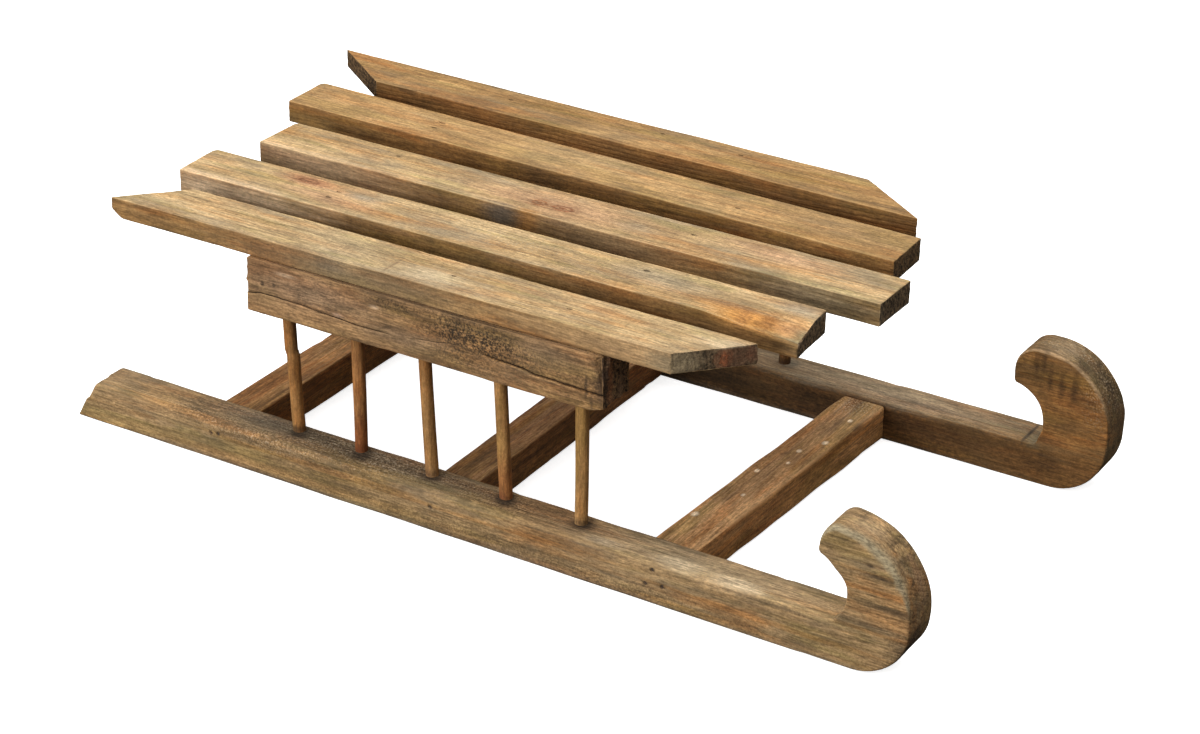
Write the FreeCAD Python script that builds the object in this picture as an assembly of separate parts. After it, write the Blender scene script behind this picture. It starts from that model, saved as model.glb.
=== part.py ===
import FreeCAD, Part
import math
import os
from collections import namedtuple

# A small hand sled of reclaimed wood.
#
# Two runners are sawn from board and end in hooks that curl back over themselves. Three crossbars
# are butted between them. Ten dowels stand in the runners and carry two side rails, and two
# battens span the rails. Five slats lie lengthwise on top, the outer two on the rails and the
# inner three on the battens.
#
# Sizes are in millimetres. While it is built, x runs forward from the runners' rear foot, y runs
# left from the line midway between the runners, and z runs up from the ground. On export the
# origin moves to the middle of the box's floor.

# ---- Driving dimensions ----------------------------------------------------------------------

RUNNER_SPREAD = 300.0       # over the outer faces of the two runners
RUNNER_LENGTH = 617.5       # right runner, rear foot to the front of its hook
LEFT_RUNNER_LEAD = 9.0      # how much further forward the left hook reaches
STOCK = 30.0                # thickness of the board that runners and rails are sawn from
RUNNER_HEIGHT = 28.0        # straight part of the runner
REAR_BEVEL = 15.5           # the rear end leans forward by this much at the top

CROSSBAR_DROP = 2.5         # crossbar tops below the runner tops
CROSSBAR_LIFT = 1.0         # crossbar undersides above the ground

RAIL_REAR = 147.0
RAIL_LENGTH = 263.0
RAIL_HEIGHT = 36.5
RAIL_INSET = 2.0            # rail's outer face inside the runner's outer face

DOWEL_DIAMETER = 8.5
DOWEL_PLACES = (0.095, 0.285, 0.49, 0.70, 0.915)    # along the rail, as fractions of its length
DOWEL_FIT = 0.1             # radial clearance in the sockets
RUNNER_SOCKET = 14.0        # socket depths
RAIL_SOCKET = 18.0

# Dowels stand a little out of plumb. A lean moves the foot, at the runner's top, and the head, at
# the rail's underside: ahead is towards the hooks, inward towards the other runner.
Lean = namedtuple("Lean", "foot_ahead foot_inward head_ahead")
PLUMB = Lean(foot_ahead=0.0, foot_inward=0.0, head_ahead=0.0)
DOWEL_LEANS = {
    "right": (
        Lean(foot_ahead=-1.8, foot_inward=7.0, head_ahead=-1.4),
        Lean(foot_ahead=-2.8, foot_inward=7.0, head_ahead=0.3),
        Lean(foot_ahead=0.0, foot_inward=4.6, head_ahead=-2.5),
        Lean(foot_ahead=0.0, foot_inward=5.0, head_ahead=-2.0),
        Lean(foot_ahead=-1.1, foot_inward=3.6, head_ahead=0.1),
    ),
    "left": (PLUMB, PLUMB, PLUMB, PLUMB, Lean(foot_ahead=-2.8, foot_inward=-1.6, head_ahead=0.0)),
}

DECK_TOP = 166.0
OUTER_SLAT_THICKNESS = 13.5
INNER_SLAT_THICKNESS = 15.5

BATTEN_WIDTH = 26.0
BATTEN_HEIGHT = 20.0
REAR_BATTEN_OFFSET = 5.0    # batten's middle ahead of the rail's rear end
FRONT_BATTEN_OFFSET = 30.0  # batten's middle behind the rail's front end

# A runner's hook. The sole turns up in a tighter round, the heel, and the crown is a round of the
# larger radius above it. The mouth is a round notch behind the hook, and the tip overhangs it.
Hook = namedtuple("Hook", "heel radius tip_reach mouth_back mouth_height mouth_radius")
HOOKS = {
    "right": Hook(heel=36.0, radius=45.5, tip_reach=15.0, mouth_back=19.0, mouth_height=47.0,
                  mouth_radius=23.5),
    "left": Hook(heel=37.0, radius=47.5, tip_reach=19.5, mouth_back=22.0, mouth_height=43.5,
                 mouth_radius=24.7),
}
TIP_LIP = 7.0               # flat lip at the tip, above the mouth

# Crossbars stand a little out of square: skew is how far the left end lies ahead of the right end.
Crossbar = namedtuple("Crossbar", "name middle width skew")
CROSSBARS = (
    Crossbar("crossbar_rear", middle=115.5, width=29.0, skew=-5.0),
    Crossbar("crossbar_middle", middle=290.0, width=27.0, skew=-5.0),
    Crossbar("crossbar_front", middle=446.0, width=31.0, skew=9.0),
)

# Slats from right to left. place is the middle's distance from the centre line, as a fraction of
# half the runner spread; drift is how far the slat wanders left from its rear end to its front
# end; mitre is how far its left edge lies ahead of its right edge, at both ends alike.
Slat = namedtuple("Slat", "name place drift width thickness rear front mitre")
SLATS = (
    Slat("slat_1", -0.837, 2.0, 40.0, OUTER_SLAT_THICKNESS, 54.5, 470.0, 36.0),
    Slat("slat_2", -0.423, 3.0, 41.0, INNER_SLAT_THICKNESS, 41.5, 501.0, -2.5),
    Slat("slat_3", 0.037, 1.0, 40.0, INNER_SLAT_THICKNESS, 56.0, 523.0, 0.0),
    Slat("slat_4", 0.523, -10.0, 42.5, INNER_SLAT_THICKNESS, 25.0, 501.0, -2.0),
    Slat("slat_5", 0.963, -6.5, 41.5, OUTER_SLAT_THICKNESS, 26.0, 456.5, -56.0),
)

# ---- Values that follow ----------------------------------------------------------------------

SIDES = {"right": -1.0, "left": 1.0}
RUNNER_OUTER = RUNNER_SPREAD / 2.0
RUNNER_INNER = RUNNER_OUTER - STOCK
RAIL_OUTER = RUNNER_OUTER - RAIL_INSET
RAIL_INNER = RAIL_OUTER - STOCK
RAIL_TOP = DECK_TOP - OUTER_SLAT_THICKNESS
RAIL_BOTTOM = RAIL_TOP - RAIL_HEIGHT
RAIL_FRONT = RAIL_REAR + RAIL_LENGTH
BATTEN_TOP = DECK_TOP - INNER_SLAT_THICKNESS
DOWEL_LINE = (RUNNER_OUTER + RUNNER_INNER) / 2.0
DOWEL_XS = tuple(RAIL_REAR + place * RAIL_LENGTH for place in DOWEL_PLACES)
RUNNER_LENGTHS = {"right": RUNNER_LENGTH, "left": RUNNER_LENGTH + LEFT_RUNNER_LEAD}


def vector(x, y, z):
    return FreeCAD.Vector(x, y, z)


def prism(corners, thickness, direction):
    """A straight-sided solid: a closed outline of points, pushed along a direction."""
    face = Part.Face(Part.makePolygon(list(corners) + [corners[0]]))
    return face.extrude(direction * thickness)


def dowel_ends(side, index):
    """Where a dowel's axis crosses the runner's top and the rail's underside."""
    x = DOWEL_XS[index]
    lean = DOWEL_LEANS[side][index]
    foot = vector(x + lean.foot_ahead, SIDES[side] * (DOWEL_LINE - lean.foot_inward), RUNNER_HEIGHT)
    head = vector(x + lean.head_ahead, SIDES[side] * DOWEL_LINE, RAIL_BOTTOM)
    return foot, head


def rod(radius, base, tip, before, beyond):
    """A round rod from before a base point to beyond a tip point, on the line through both."""
    direction = (tip - base).normalize()
    length = base.distanceToPoint(tip) + before + beyond
    return Part.makeCylinder(radius, length, base - direction * before, direction)


def runner_outline(length, hook, y):
    """The runner's side outline at the given y, as a closed wire."""
    centre_x = length - hook.radius
    mouth_x = centre_x - hook.mouth_back
    crown = 2.0 * hook.radius

    def at(x, z):
        return vector(x, y, z)

    def mouth_height_at(x):
        return hook.mouth_height + math.sqrt(hook.mouth_radius ** 2 - (x - mouth_x) ** 2)

    diagonal = math.sqrt(0.5)
    rear_foot = at(0.0, 0.0)
    sole_end = at(length - hook.heel, 0.0)
    heel_middle = at(length - hook.heel * (1.0 - diagonal), hook.heel * (1.0 - diagonal))
    hook_front = at(length, hook.heel)
    crown_foot = at(length, hook.radius)
    crown_middle = at(centre_x + hook.radius * diagonal, hook.radius * (1.0 + diagonal))
    crown_end = at(centre_x - hook.tip_reach / 4.0, crown)
    hook_top = at(centre_x, crown)
    tip_x = centre_x - hook.tip_reach
    lip = at(tip_x, mouth_height_at(tip_x))
    nose = at(tip_x, lip.z + TIP_LIP)
    shoulder = at(centre_x - 0.8 * hook.tip_reach, crown - 5.0)
    mouth_wall = at(mouth_x + hook.mouth_radius, hook.mouth_height)
    root_run = math.sqrt(hook.mouth_radius ** 2 - (hook.mouth_height - RUNNER_HEIGHT) ** 2)
    root = at(mouth_x + root_run, RUNNER_HEIGHT)
    rear_top = at(REAR_BEVEL, RUNNER_HEIGHT)

    edges = [
        Part.makeLine(rear_foot, sole_end),
        Part.Arc(sole_end, heel_middle, hook_front).toShape(),
        Part.makeLine(hook_front, crown_foot),
        Part.Arc(crown_foot, crown_middle, hook_top).toShape(),
        Part.makeLine(hook_top, crown_end),
        Part.Arc(crown_end, shoulder, nose).toShape(),
        Part.makeLine(nose, lip),
        Part.Arc(lip, mouth_wall, root).toShape(),
        Part.makeLine(root, rear_top),
        Part.makeLine(rear_top, rear_foot),
    ]
    return Part.Wire(edges)


def make_runner(side):
    """A hooked runner with a row of blind sockets in its top for the dowels."""
    low_y = min(SIDES[side] * RUNNER_OUTER, SIDES[side] * RUNNER_INNER)
    outline = runner_outline(RUNNER_LENGTHS[side], HOOKS[side], low_y)
    runner = Part.Face(outline).extrude(vector(0.0, STOCK, 0.0))
    for index in range(len(DOWEL_XS)):
        foot, head = dowel_ends(side, index)
        runner = runner.cut(rod(DOWEL_DIAMETER / 2.0 + DOWEL_FIT, foot, head, RUNNER_SOCKET, 0.0))
    return runner


def make_crossbar(bar):
    """A square-sawn bar butted between the inner faces of the runners."""
    half = bar.width / 2.0
    bottom = CROSSBAR_LIFT
    top = RUNNER_HEIGHT - CROSSBAR_DROP
    corners = [
        vector(bar.middle - half, -RUNNER_INNER, bottom),
        vector(bar.middle + half, -RUNNER_INNER, bottom),
        vector(bar.middle + half + bar.skew, RUNNER_INNER, bottom),
        vector(bar.middle - half + bar.skew, RUNNER_INNER, bottom),
    ]
    return prism(corners, top - bottom, vector(0.0, 0.0, 1.0))


def make_rail(side):
    """A side rail with blind sockets in its underside for the dowels."""
    low_y = min(SIDES[side] * RAIL_OUTER, SIDES[side] * RAIL_INNER)
    rail = Part.makeBox(RAIL_LENGTH, STOCK, RAIL_HEIGHT, vector(RAIL_REAR, low_y, RAIL_BOTTOM))
    for index in range(len(DOWEL_XS)):
        foot, head = dowel_ends(side, index)
        rail = rail.cut(rod(DOWEL_DIAMETER / 2.0 + DOWEL_FIT, foot, head, 0.0, RAIL_SOCKET))
    return rail


def make_dowel(side, index):
    """A dowel that fills both of its sockets end to end."""
    foot, head = dowel_ends(side, index)
    return rod(DOWEL_DIAMETER / 2.0, foot, head, RUNNER_SOCKET, RAIL_SOCKET)


def make_batten(middle):
    """A cross batten butted between the rails, under the inner slats."""
    return Part.makeBox(BATTEN_WIDTH, 2.0 * RAIL_INNER, BATTEN_HEIGHT,
                        vector(middle - BATTEN_WIDTH / 2.0, -RAIL_INNER, BATTEN_TOP - BATTEN_HEIGHT))


def make_slat(slat):
    """A deck slat, its ends cut square or at one common mitre."""
    half = slat.width / 2.0
    lean = slat.mitre / 2.0
    rear_y = slat.place * RUNNER_OUTER
    front_y = rear_y + slat.drift
    bottom = DECK_TOP - slat.thickness
    corners = [
        vector(slat.rear - lean, rear_y - half, bottom),
        vector(slat.front - lean, front_y - half, bottom),
        vector(slat.front + lean, front_y + half, bottom),
        vector(slat.rear + lean, rear_y + half, bottom),
    ]
    return prism(corners, slat.thickness, vector(0.0, 0.0, 1.0))


def make_sled():
    """Every piece by name, in build coordinates."""
    pieces = {}
    for side in SIDES:
        pieces["runner_" + side] = make_runner(side)
        pieces["rail_" + side] = make_rail(side)
        for index in range(len(DOWEL_XS)):
            pieces["dowel_{}_{}".format(side, index + 1)] = make_dowel(side, index)
    for bar in CROSSBARS:
        pieces[bar.name] = make_crossbar(bar)
    pieces["batten_rear"] = make_batten(RAIL_REAR + REAR_BATTEN_OFFSET)
    pieces["batten_front"] = make_batten(RAIL_FRONT - FRONT_BATTEN_OFFSET)
    for slat in SLATS:
        pieces[slat.name] = make_slat(slat)
    return pieces


def floor_middle(pieces):
    """The middle of the floor of the box round every piece."""
    box = FreeCAD.BoundBox()
    for shape in pieces.values():
        box.add(shape.BoundBox)
    return vector(box.Center.x, box.Center.y, 0.0)


os.makedirs("parts", exist_ok=True)
sled = make_sled()
origin = floor_middle(sled)
for node, shape in sled.items():
    placed = shape.copy()
    placed.translate(origin * -1.0)
    placed.exportStep(os.path.join("parts", node + ".step"))
    print(node, "valid" if placed.isValid() else "INVALID", round(placed.Volume))
print("origin", origin)
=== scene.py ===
"""A small hand sled of reclaimed wood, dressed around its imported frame.

Each wooden piece starts as a box sliced into rows. Its rows are worn, rippled and cracked in the
board's own measure (along the grain, across it, and through it), and the board is then laid or bent
into its place. Measures in this file are millimetres unless a name says otherwise; the frame and
the finished meshes are in metres.
"""

import logging
import math
from dataclasses import dataclass, field, replace
from enum import Enum
from typing import Callable, Union

import bmesh
import bpy
from mathutils import Matrix, Quaternion, Vector, noise


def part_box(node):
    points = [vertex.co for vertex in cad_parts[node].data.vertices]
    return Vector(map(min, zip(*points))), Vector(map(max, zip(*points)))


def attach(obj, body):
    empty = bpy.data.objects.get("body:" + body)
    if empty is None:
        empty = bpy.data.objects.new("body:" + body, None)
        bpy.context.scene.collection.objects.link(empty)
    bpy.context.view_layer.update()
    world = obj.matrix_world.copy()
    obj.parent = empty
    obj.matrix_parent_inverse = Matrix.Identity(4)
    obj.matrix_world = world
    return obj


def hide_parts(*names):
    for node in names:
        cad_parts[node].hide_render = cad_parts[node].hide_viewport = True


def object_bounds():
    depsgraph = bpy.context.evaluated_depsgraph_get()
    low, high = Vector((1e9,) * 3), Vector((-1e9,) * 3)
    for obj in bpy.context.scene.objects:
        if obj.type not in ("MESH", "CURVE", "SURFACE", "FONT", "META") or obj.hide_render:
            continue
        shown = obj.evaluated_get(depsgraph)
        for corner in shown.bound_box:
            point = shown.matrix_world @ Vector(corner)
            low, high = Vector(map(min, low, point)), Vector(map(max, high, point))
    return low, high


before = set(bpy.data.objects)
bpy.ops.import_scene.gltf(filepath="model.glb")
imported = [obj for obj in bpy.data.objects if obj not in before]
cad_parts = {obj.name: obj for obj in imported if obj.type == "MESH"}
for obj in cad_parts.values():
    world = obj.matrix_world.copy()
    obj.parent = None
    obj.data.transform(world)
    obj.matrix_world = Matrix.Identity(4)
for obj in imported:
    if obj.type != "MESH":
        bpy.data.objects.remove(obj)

MM = 0.001
ROOT = "root"
CAD_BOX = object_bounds()

Colour = tuple[float, float, float]
Socket = bpy.types.NodeSocket
Feed = Union[Socket, float, tuple]
Place = Callable[[float, float, float], Vector]

log = logging.getLogger("sled")


# ---- Small measures --------------------------------------------------------------------------


def clamp(value: float, low: float, high: float) -> float:
    """Returns value held between low and high."""
    return max(low, min(high, value))


def ease(value: float, start: float, stop: float) -> float:
    """Returns a smooth 0 to 1 as value goes from start to stop."""
    share = clamp((value - start) / (stop - start), 0.0, 1.0)
    return share * share * (3.0 - 2.0 * share)


def crowd(share: float, amount: float) -> float:
    """Moves a row so that rows lie closer together near both borders.

    Args:
        share: the row's even place, from -0.5 to 0.5.
        amount: 0 leaves the rows even, and near 1 the border rows almost touch.

    Returns:
        The row's new place, from -0.5 to 0.5.
    """
    return share + amount * math.sin(2.0 * math.pi * share) / (2.0 * math.pi)


def gather(value: float, seat: float, half: float) -> float:
    """Draws rows together round a seat, and leaves the borders where they are.

    Args:
        value: the row's place, from -half to half.
        seat: where the middle row goes.
        half: half the board's size that way.

    Returns:
        The row's new place.
    """
    side = 1.0 if value >= 0.0 else -1.0
    reach = half - side * seat
    return seat + side * reach * (abs(value) / half) ** 1.7


def rough(x: float, y: float, z: float) -> float:
    """Returns repeatable noise, about -1 to 1, at a point."""
    return noise.noise(Vector((x, y, z)))


# ---- Boards ----------------------------------------------------------------------------------

MARK_KEYS = ("arris", "crack", "end", "edge", "worn", "rim")
FLAT_KEYS = (6.1, 9.2)
EDGE_KEYS = (18.0, 22.0)
END_KEYS = (31.0, 37.0)
LENGTH_CROWDING = 0.8
WIDTH_CROWDING = 0.75
MOST_ARRIS = 0.84
FULL_ARRIS = 0.65
END_FACING = 0.75
CRACK_FACING = 0.6


class Face(Enum):
    """The faces of a board that nails go into and cracks open on: its two edges and its top."""

    RIGHT = (0, -1, 0)
    LEFT = (0, 1, 0)
    TOP = (0, 0, 1)


@dataclass(frozen=True)
class Crack:
    """A split that follows the grain on one face.

    path holds its turning points, each a share of the length and a distance from the face's middle
    line; lip is how far the wood on the lower side of it stands out.
    """

    face: Face
    path: tuple[tuple[float, float], ...]
    depth: float = 2.5
    width: float = 0.45
    jag: float = 0.35
    lip: float = 0.0

    def seat(self, share: float, along: float) -> float:
        """Returns how far from the middle line the crack lies.

        Args:
            share: how far along the board, from 0 to 1.
            along: the same in millimetres.

        Returns:
            The distance in millimetres.
        """
        seat = self.path[0][1] if share < self.path[0][0] else self.path[-1][1]
        for (start, low), (stop, high) in zip(self.path, self.path[1:]):
            if start <= share <= stop:
                seat = low + (high - low) * ease(share, start, stop)
        wander = rough(along * 0.09, seat * 0.1, 3.1) + 0.6 * rough(along * 0.31, 1.7, 3.1)
        return seat + self.jag * wander

    def fade(self, share: float) -> float:
        """Returns how open the crack is at a share of the length, from 0 to 1."""
        start, stop = self.path[0][0], self.path[-1][0]
        if not start <= share <= stop:
            return 0.0
        fade = ease(share, start, start + 0.06) if start > 0.0 else 1.0
        return fade * (ease(share, stop, stop - 0.06) if stop < 1.0 else 1.0)


@dataclass(frozen=True)
class Nick:
    """A corner cut off a board by a plane.

    The plane goes through three points; each is given by shares of the half length, half width and
    half thickness, and then by millimetres added to them.
    """

    corner: tuple[float, float, float]
    cuts: tuple[tuple[float, float, float], tuple[float, float, float], tuple[float, float, float]]
    rough: float = 0.3
    shows: bool = True

    def trim(self, point: Vector, halves: Vector, seed: float) -> tuple[Vector, float]:
        """Moves a point that lies beyond the plane back on to it.

        Args:
            point: the point in the board's own measure.
            halves: the board's half sizes.
            seed: the board's seed.

        Returns:
            The point, and 1 where it was moved.
        """
        corner = Vector(part * half for part, half in zip(self.corner, halves))
        first, second, third = (corner + Vector(cut) for cut in self.cuts)
        normal = (second - first).cross(third - first).normalized()
        if normal.dot(corner - first) < 0.0:
            normal.negate()
        beyond = normal.dot(point - first)
        if beyond <= 0.0:
            return point, 0.0
        bite = self.rough * (rough(point.x * 0.12, point.y * 0.3, seed) - 0.3)
        return point - normal * (beyond - bite), min(1.0, beyond) if self.shows else 0.0


@dataclass(frozen=True)
class Wear:
    """How a batch of boards is worn.

    arris is the radius of its edges and arris_play how much that varies; chips deepens the odd
    knock; ripple is the height of the raised grain, every pitch across; sway and edge_sway are how
    far its broad faces and its edges wander; dents and end_break are the depths of knocks and of
    torn end grain.
    """

    arris: float = 0.9
    arris_play: float = 0.6
    chips: float = 3.0
    ripple: float = 0.16
    pitch: float = 2.6
    sway: float = 0.4
    edge_sway: float = 0.5
    dents: float = 0.8
    end_break: float = 0.35


@dataclass
class Board:
    """A sawn piece as a sliced box.

    size is its length along the grain, its width and its thickness; cells is how many rows each is
    sliced into. place lays a point of the board's own measure into the sled. depth_at gives the
    thickness at a share of the length, where it varies, and arris_gain swells an edge's radius.
    """

    name: str
    size: tuple[float, float, float]
    cells: tuple[int, int, int]
    wear: Wear
    place: Place
    seed: float
    cracks: tuple[Crack, ...] = ()
    seam: Crack | None = None
    nicks: tuple[Nick, ...] = ()
    depth_at: Callable[[float], float] | None = None
    arris_gain: Callable[[float, float, float], float] | None = None
    lowered: Callable[[float, Vector], float] | None = None
    rim_at: Callable[[float, Vector], float] | None = None

    def slice_box(self) -> bmesh.types.BMesh:
        """Returns a unit box sliced evenly into the board's cells."""
        bm = bmesh.new()
        bmesh.ops.create_cube(bm, size=1.0)
        for axis in (1, 2, 0):
            running = [
                edge for edge in bm.edges
                if abs(edge.verts[0].co[axis] - edge.verts[1].co[axis]) > 1e-5
            ]
            bmesh.ops.subdivide_edges(bm, edges=running, cuts=self.cells[axis] - 1, use_grid_fill=True)
        return bm

    def arris_radius(self, share: float, side: float, level: float) -> float:
        """Returns the radius of the edge nearest a point.

        Args:
            share: how far along the board the point lies, from 0 to 1.
            side: the point's side, negative to the right.
            level: the point's height, negative below the middle.

        Returns:
            The radius in millimetres.
        """
        corner = (2.0 if side > 0.0 else 0.0) + (1.0 if level > 0.0 else 0.0)
        along = share * self.size[0]
        play = 1.0 + self.wear.arris_play * rough(along * 0.03, corner * 7.3, self.seed)
        chip = max(0.0, rough(along * 0.075, corner * 3.1, self.seed + 9.0) - 0.42)
        return self.wear.arris * play + self.wear.chips * chip

    def relief(self, along: float, across: float, face_key: float, is_end: bool) -> float:
        """Returns how far the surface stands out (or in, below 0) at a point of a face."""
        wear = self.wear
        if is_end:
            torn = rough(along * 0.22, across * 0.22, self.seed + face_key)
            fine = rough(along * 0.9, across * 0.9, self.seed + face_key + 4.0)
            return wear.end_break * (torn + 0.5 * fine - 0.2)
        ridge = rough(along * 0.008, across / wear.pitch, self.seed + face_key)
        fine = rough(along * 0.03, across * 1.1, self.seed + face_key + 5.0)
        wander = rough(along * 0.011, across * 0.02, self.seed + face_key * 2.0)
        wander += 0.5 * rough(along * 0.031, across * 0.05, self.seed + face_key * 3.0)
        knock = max(0.0, rough(along * 0.06, across * 0.13, self.seed + face_key + 20.0) - 0.34)
        sway = wear.edge_sway if EDGE_KEYS[0] <= face_key <= EDGE_KEYS[1] else wear.sway
        return wear.ripple * (ridge + 0.45 * fine) + sway * wander - wear.dents * knock

    def carve(self, normal: Vector, share: float, along: float, across: float) -> tuple[float, float]:
        """Works out how the board's cracks shape it at a point.

        Args:
            normal: which way the surface faces.
            share: how far along the board the point lies, from 0 to 1.
            along: the same in millimetres.
            across: how far it lies from the face's middle line.

        Returns:
            How deep the wood is cut there, and how far inside a crack it is, from 0 to 1.
        """
        depth, inside = 0.0, 0.0
        for crack in self.cracks:
            if normal.dot(Vector(crack.face.value)) < CRACK_FACING:
                continue
            fade = crack.fade(share)
            if not fade:
                continue
            off = (across - crack.seat(share, along)) / crack.width
            shape = math.exp(-off * off) * fade
            uneven = 0.75 + 0.5 * rough(along * 0.05, crack.depth, 8.0)
            depth = max(depth, crack.depth * shape * uneven)
            inside = max(inside, shape)
            if crack.lip and off < 0.0:
                depth -= crack.lip * fade * ease(-off, 0.5, 3.0)
        return depth, inside

    def wear_point(self, unit: Vector) -> tuple[Vector, dict[str, float]]:
        """Works out where a point of the unit box lies on the worn board.

        Args:
            unit: the point on the unit box.

        Returns:
            The point in the board's own measure, and its marks for the finish.
        """
        length, width, thick = self.size
        along = crowd(unit.x, LENGTH_CROWDING) * length
        share = along / length + 0.5
        if self.depth_at:
            thick = self.depth_at(share)
        halves = Vector((length, width, thick)) / 2.0
        side = crowd(unit.y, WIDTH_CROWDING) * width
        level = crowd(unit.z, WIDTH_CROWDING) * thick
        if self.seam:
            level = gather(level, self.seam.seat(share, along), halves.z)
        gain = self.arris_gain(share, side, level) if self.arris_gain else 1.0
        radius = self.arris_radius(share, side, level) * gain
        radius = min(radius, MOST_ARRIS * halves.y, MOST_ARRIS * halves.z)
        core = Vector((
            clamp(along, radius - halves.x, halves.x - radius),
            clamp(side, radius - halves.y, halves.y - radius),
            clamp(level, radius - halves.z, halves.z - radius),
        ))
        normal = (Vector((along, side, level)) - core).normalized()
        arris = clamp(sorted(abs(part) for part in normal)[1] / FULL_ARRIS, 0.0, 1.0)
        is_end = abs(normal.x) > END_FACING
        top_like = abs(normal.z) > abs(normal.y)
        across = side if top_like else level
        if is_end:
            height = self.relief(side, level, END_KEYS[normal.x > 0.0], True)
        else:
            beyond = level > 0.0 if top_like else side > 0.0
            face_key = (FLAT_KEYS if top_like else EDGE_KEYS)[beyond]
            height = self.relief(along, across, face_key, False) * (1.0 - 0.5 * arris)
        cut, inside = self.carve(normal, share, along, across)
        cut += self.lowered(share, normal) if self.lowered else 0.0
        point = core + normal * (radius + height - cut)
        marks = {"arris": arris, "crack": inside, "end": 1.0 if is_end else 0.0,
                 "edge": 0.0 if top_like else 1.0, "worn": 0.0,
                 "rim": self.rim_at(share, normal) if self.rim_at else 0.0}
        marks["worn"] = arris * clamp(gain - 1.2, 0.0, 1.0) * ease(marks["rim"], 0.0, 0.2)
        for nick in self.nicks:
            point, cut_back = nick.trim(point, halves, self.seed)
            marks["worn"] = max(marks["worn"], cut_back)
        return point, marks

    def build(self) -> bpy.types.Object:
        """Makes the board's mesh and returns its object."""
        bm = self.slice_box()
        layers = {key: bm.verts.layers.float.new(key) for key in MARK_KEYS}
        for vert in bm.verts:
            point, marks = self.wear_point(vert.co)
            for key, layer in layers.items():
                vert[layer] = marks[key]
            vert.co = self.place(*point) * MM
        bmesh.ops.recalc_face_normals(bm, faces=bm.faces)
        for face in bm.faces:
            face.smooth = True
        return as_object(bm, self.name)


def as_object(bm: bmesh.types.BMesh, name: str) -> bpy.types.Object:
    """Turns a bmesh into an object at the origin, and frees the bmesh."""
    mesh = bpy.data.meshes.new(name)
    bm.to_mesh(mesh)
    bm.free()
    obj = bpy.data.objects.new(name, mesh)
    bpy.context.scene.collection.objects.link(obj)
    return obj


def cut_away(piece: bpy.types.Object, tool: bpy.types.Object) -> None:
    """Cuts a tool's solids out of a piece for good, and throws the tool away."""
    modifier = piece.modifiers.new("cut", "BOOLEAN")
    modifier.operation = "DIFFERENCE"
    modifier.solver = "EXACT"
    modifier.object = tool
    graph = bpy.context.evaluated_depsgraph_get()
    cut_mesh = bpy.data.meshes.new_from_object(piece.evaluated_get(graph))
    piece.modifiers.remove(modifier)
    old_mesh = piece.data
    piece.data = cut_mesh
    bpy.data.meshes.remove(old_mesh)
    bpy.data.objects.remove(tool)
    for polygon in piece.data.polygons:
        polygon.use_smooth = True


def box_of(node: str) -> tuple[Vector, Vector]:
    """Returns a node's low and high corners in millimetres."""
    low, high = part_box(node)
    return Vector(low) / MM, Vector(high) / MM


def settle(piece: bpy.types.Object, node: str | None, material: bpy.types.Material) -> None:
    """Gives a piece its finish, and lets it ride the sled's one body.

    Args:
        piece: the piece.
        node: the frame's node that it stands for, or None where it stands for none.
        material: the finish.
    """
    piece.data.materials.clear()
    piece.data.materials.append(material)
    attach(piece, ROOT)
    if node:
        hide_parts(node)
    log.info("%s: %d faces", piece.name, len(piece.data.polygons))


# ---- Finishes --------------------------------------------------------------------------------


class Grain(Enum):
    """Which way a piece's grain runs, as the turn that lays it along X."""

    FORWARD = (0.0, 0.0, 0.0)
    SIDEWAYS = (0.0, 0.0, -math.pi / 2.0)
    UPRIGHT = (0.0, math.pi / 2.0, 0.0)


@dataclass(frozen=True)
class WoodFinish:
    """One batch of weathered wood: its colours, and how its grain, greying and dirt are spread.

    edge is what its long edges are multiplied by, which is painted shade with some dirt on faces turned into
    gaps or away from the light, and worn is the colour of its rubbed corners.
    """

    pale: Colour
    brown: Colour
    dark: Colour
    grey: Colour
    end: Colour
    edge: Colour = (1.0, 1.0, 1.0)
    worn: Colour = (0.40, 0.33, 0.24)
    greying: float = 0.5
    ring_pitch: float = 3.4
    rings: float = 0.45
    fibres: float = 0.5
    flecks: float = 0.5
    specks: float = 0.4
    mould: float = 0.3
    saw_marks: float = 0.3
    rubbing: float = 0.4
    veins: float = 0.75
    tinges: float = 0.75
    roughness: float = 0.78
    bump: float = 0.6


@dataclass(frozen=True)
class Mark:
    """A knot, stain or paint speck; some marks are painted shade, and some painted light.

    at is its middle, from the piece's anchor, and reach its half sizes; hardness is how sharp its
    rim is, and rings says whether it has a knot's rings. speckle breaks it into specks, 1 and -1 in
    different ones.
    """

    at: tuple[float, float, float]
    reach: tuple[float, float, float]
    colour: Colour
    strength: float
    hardness: float = 0.0
    rings: bool = False
    speckle: int = 0


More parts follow.
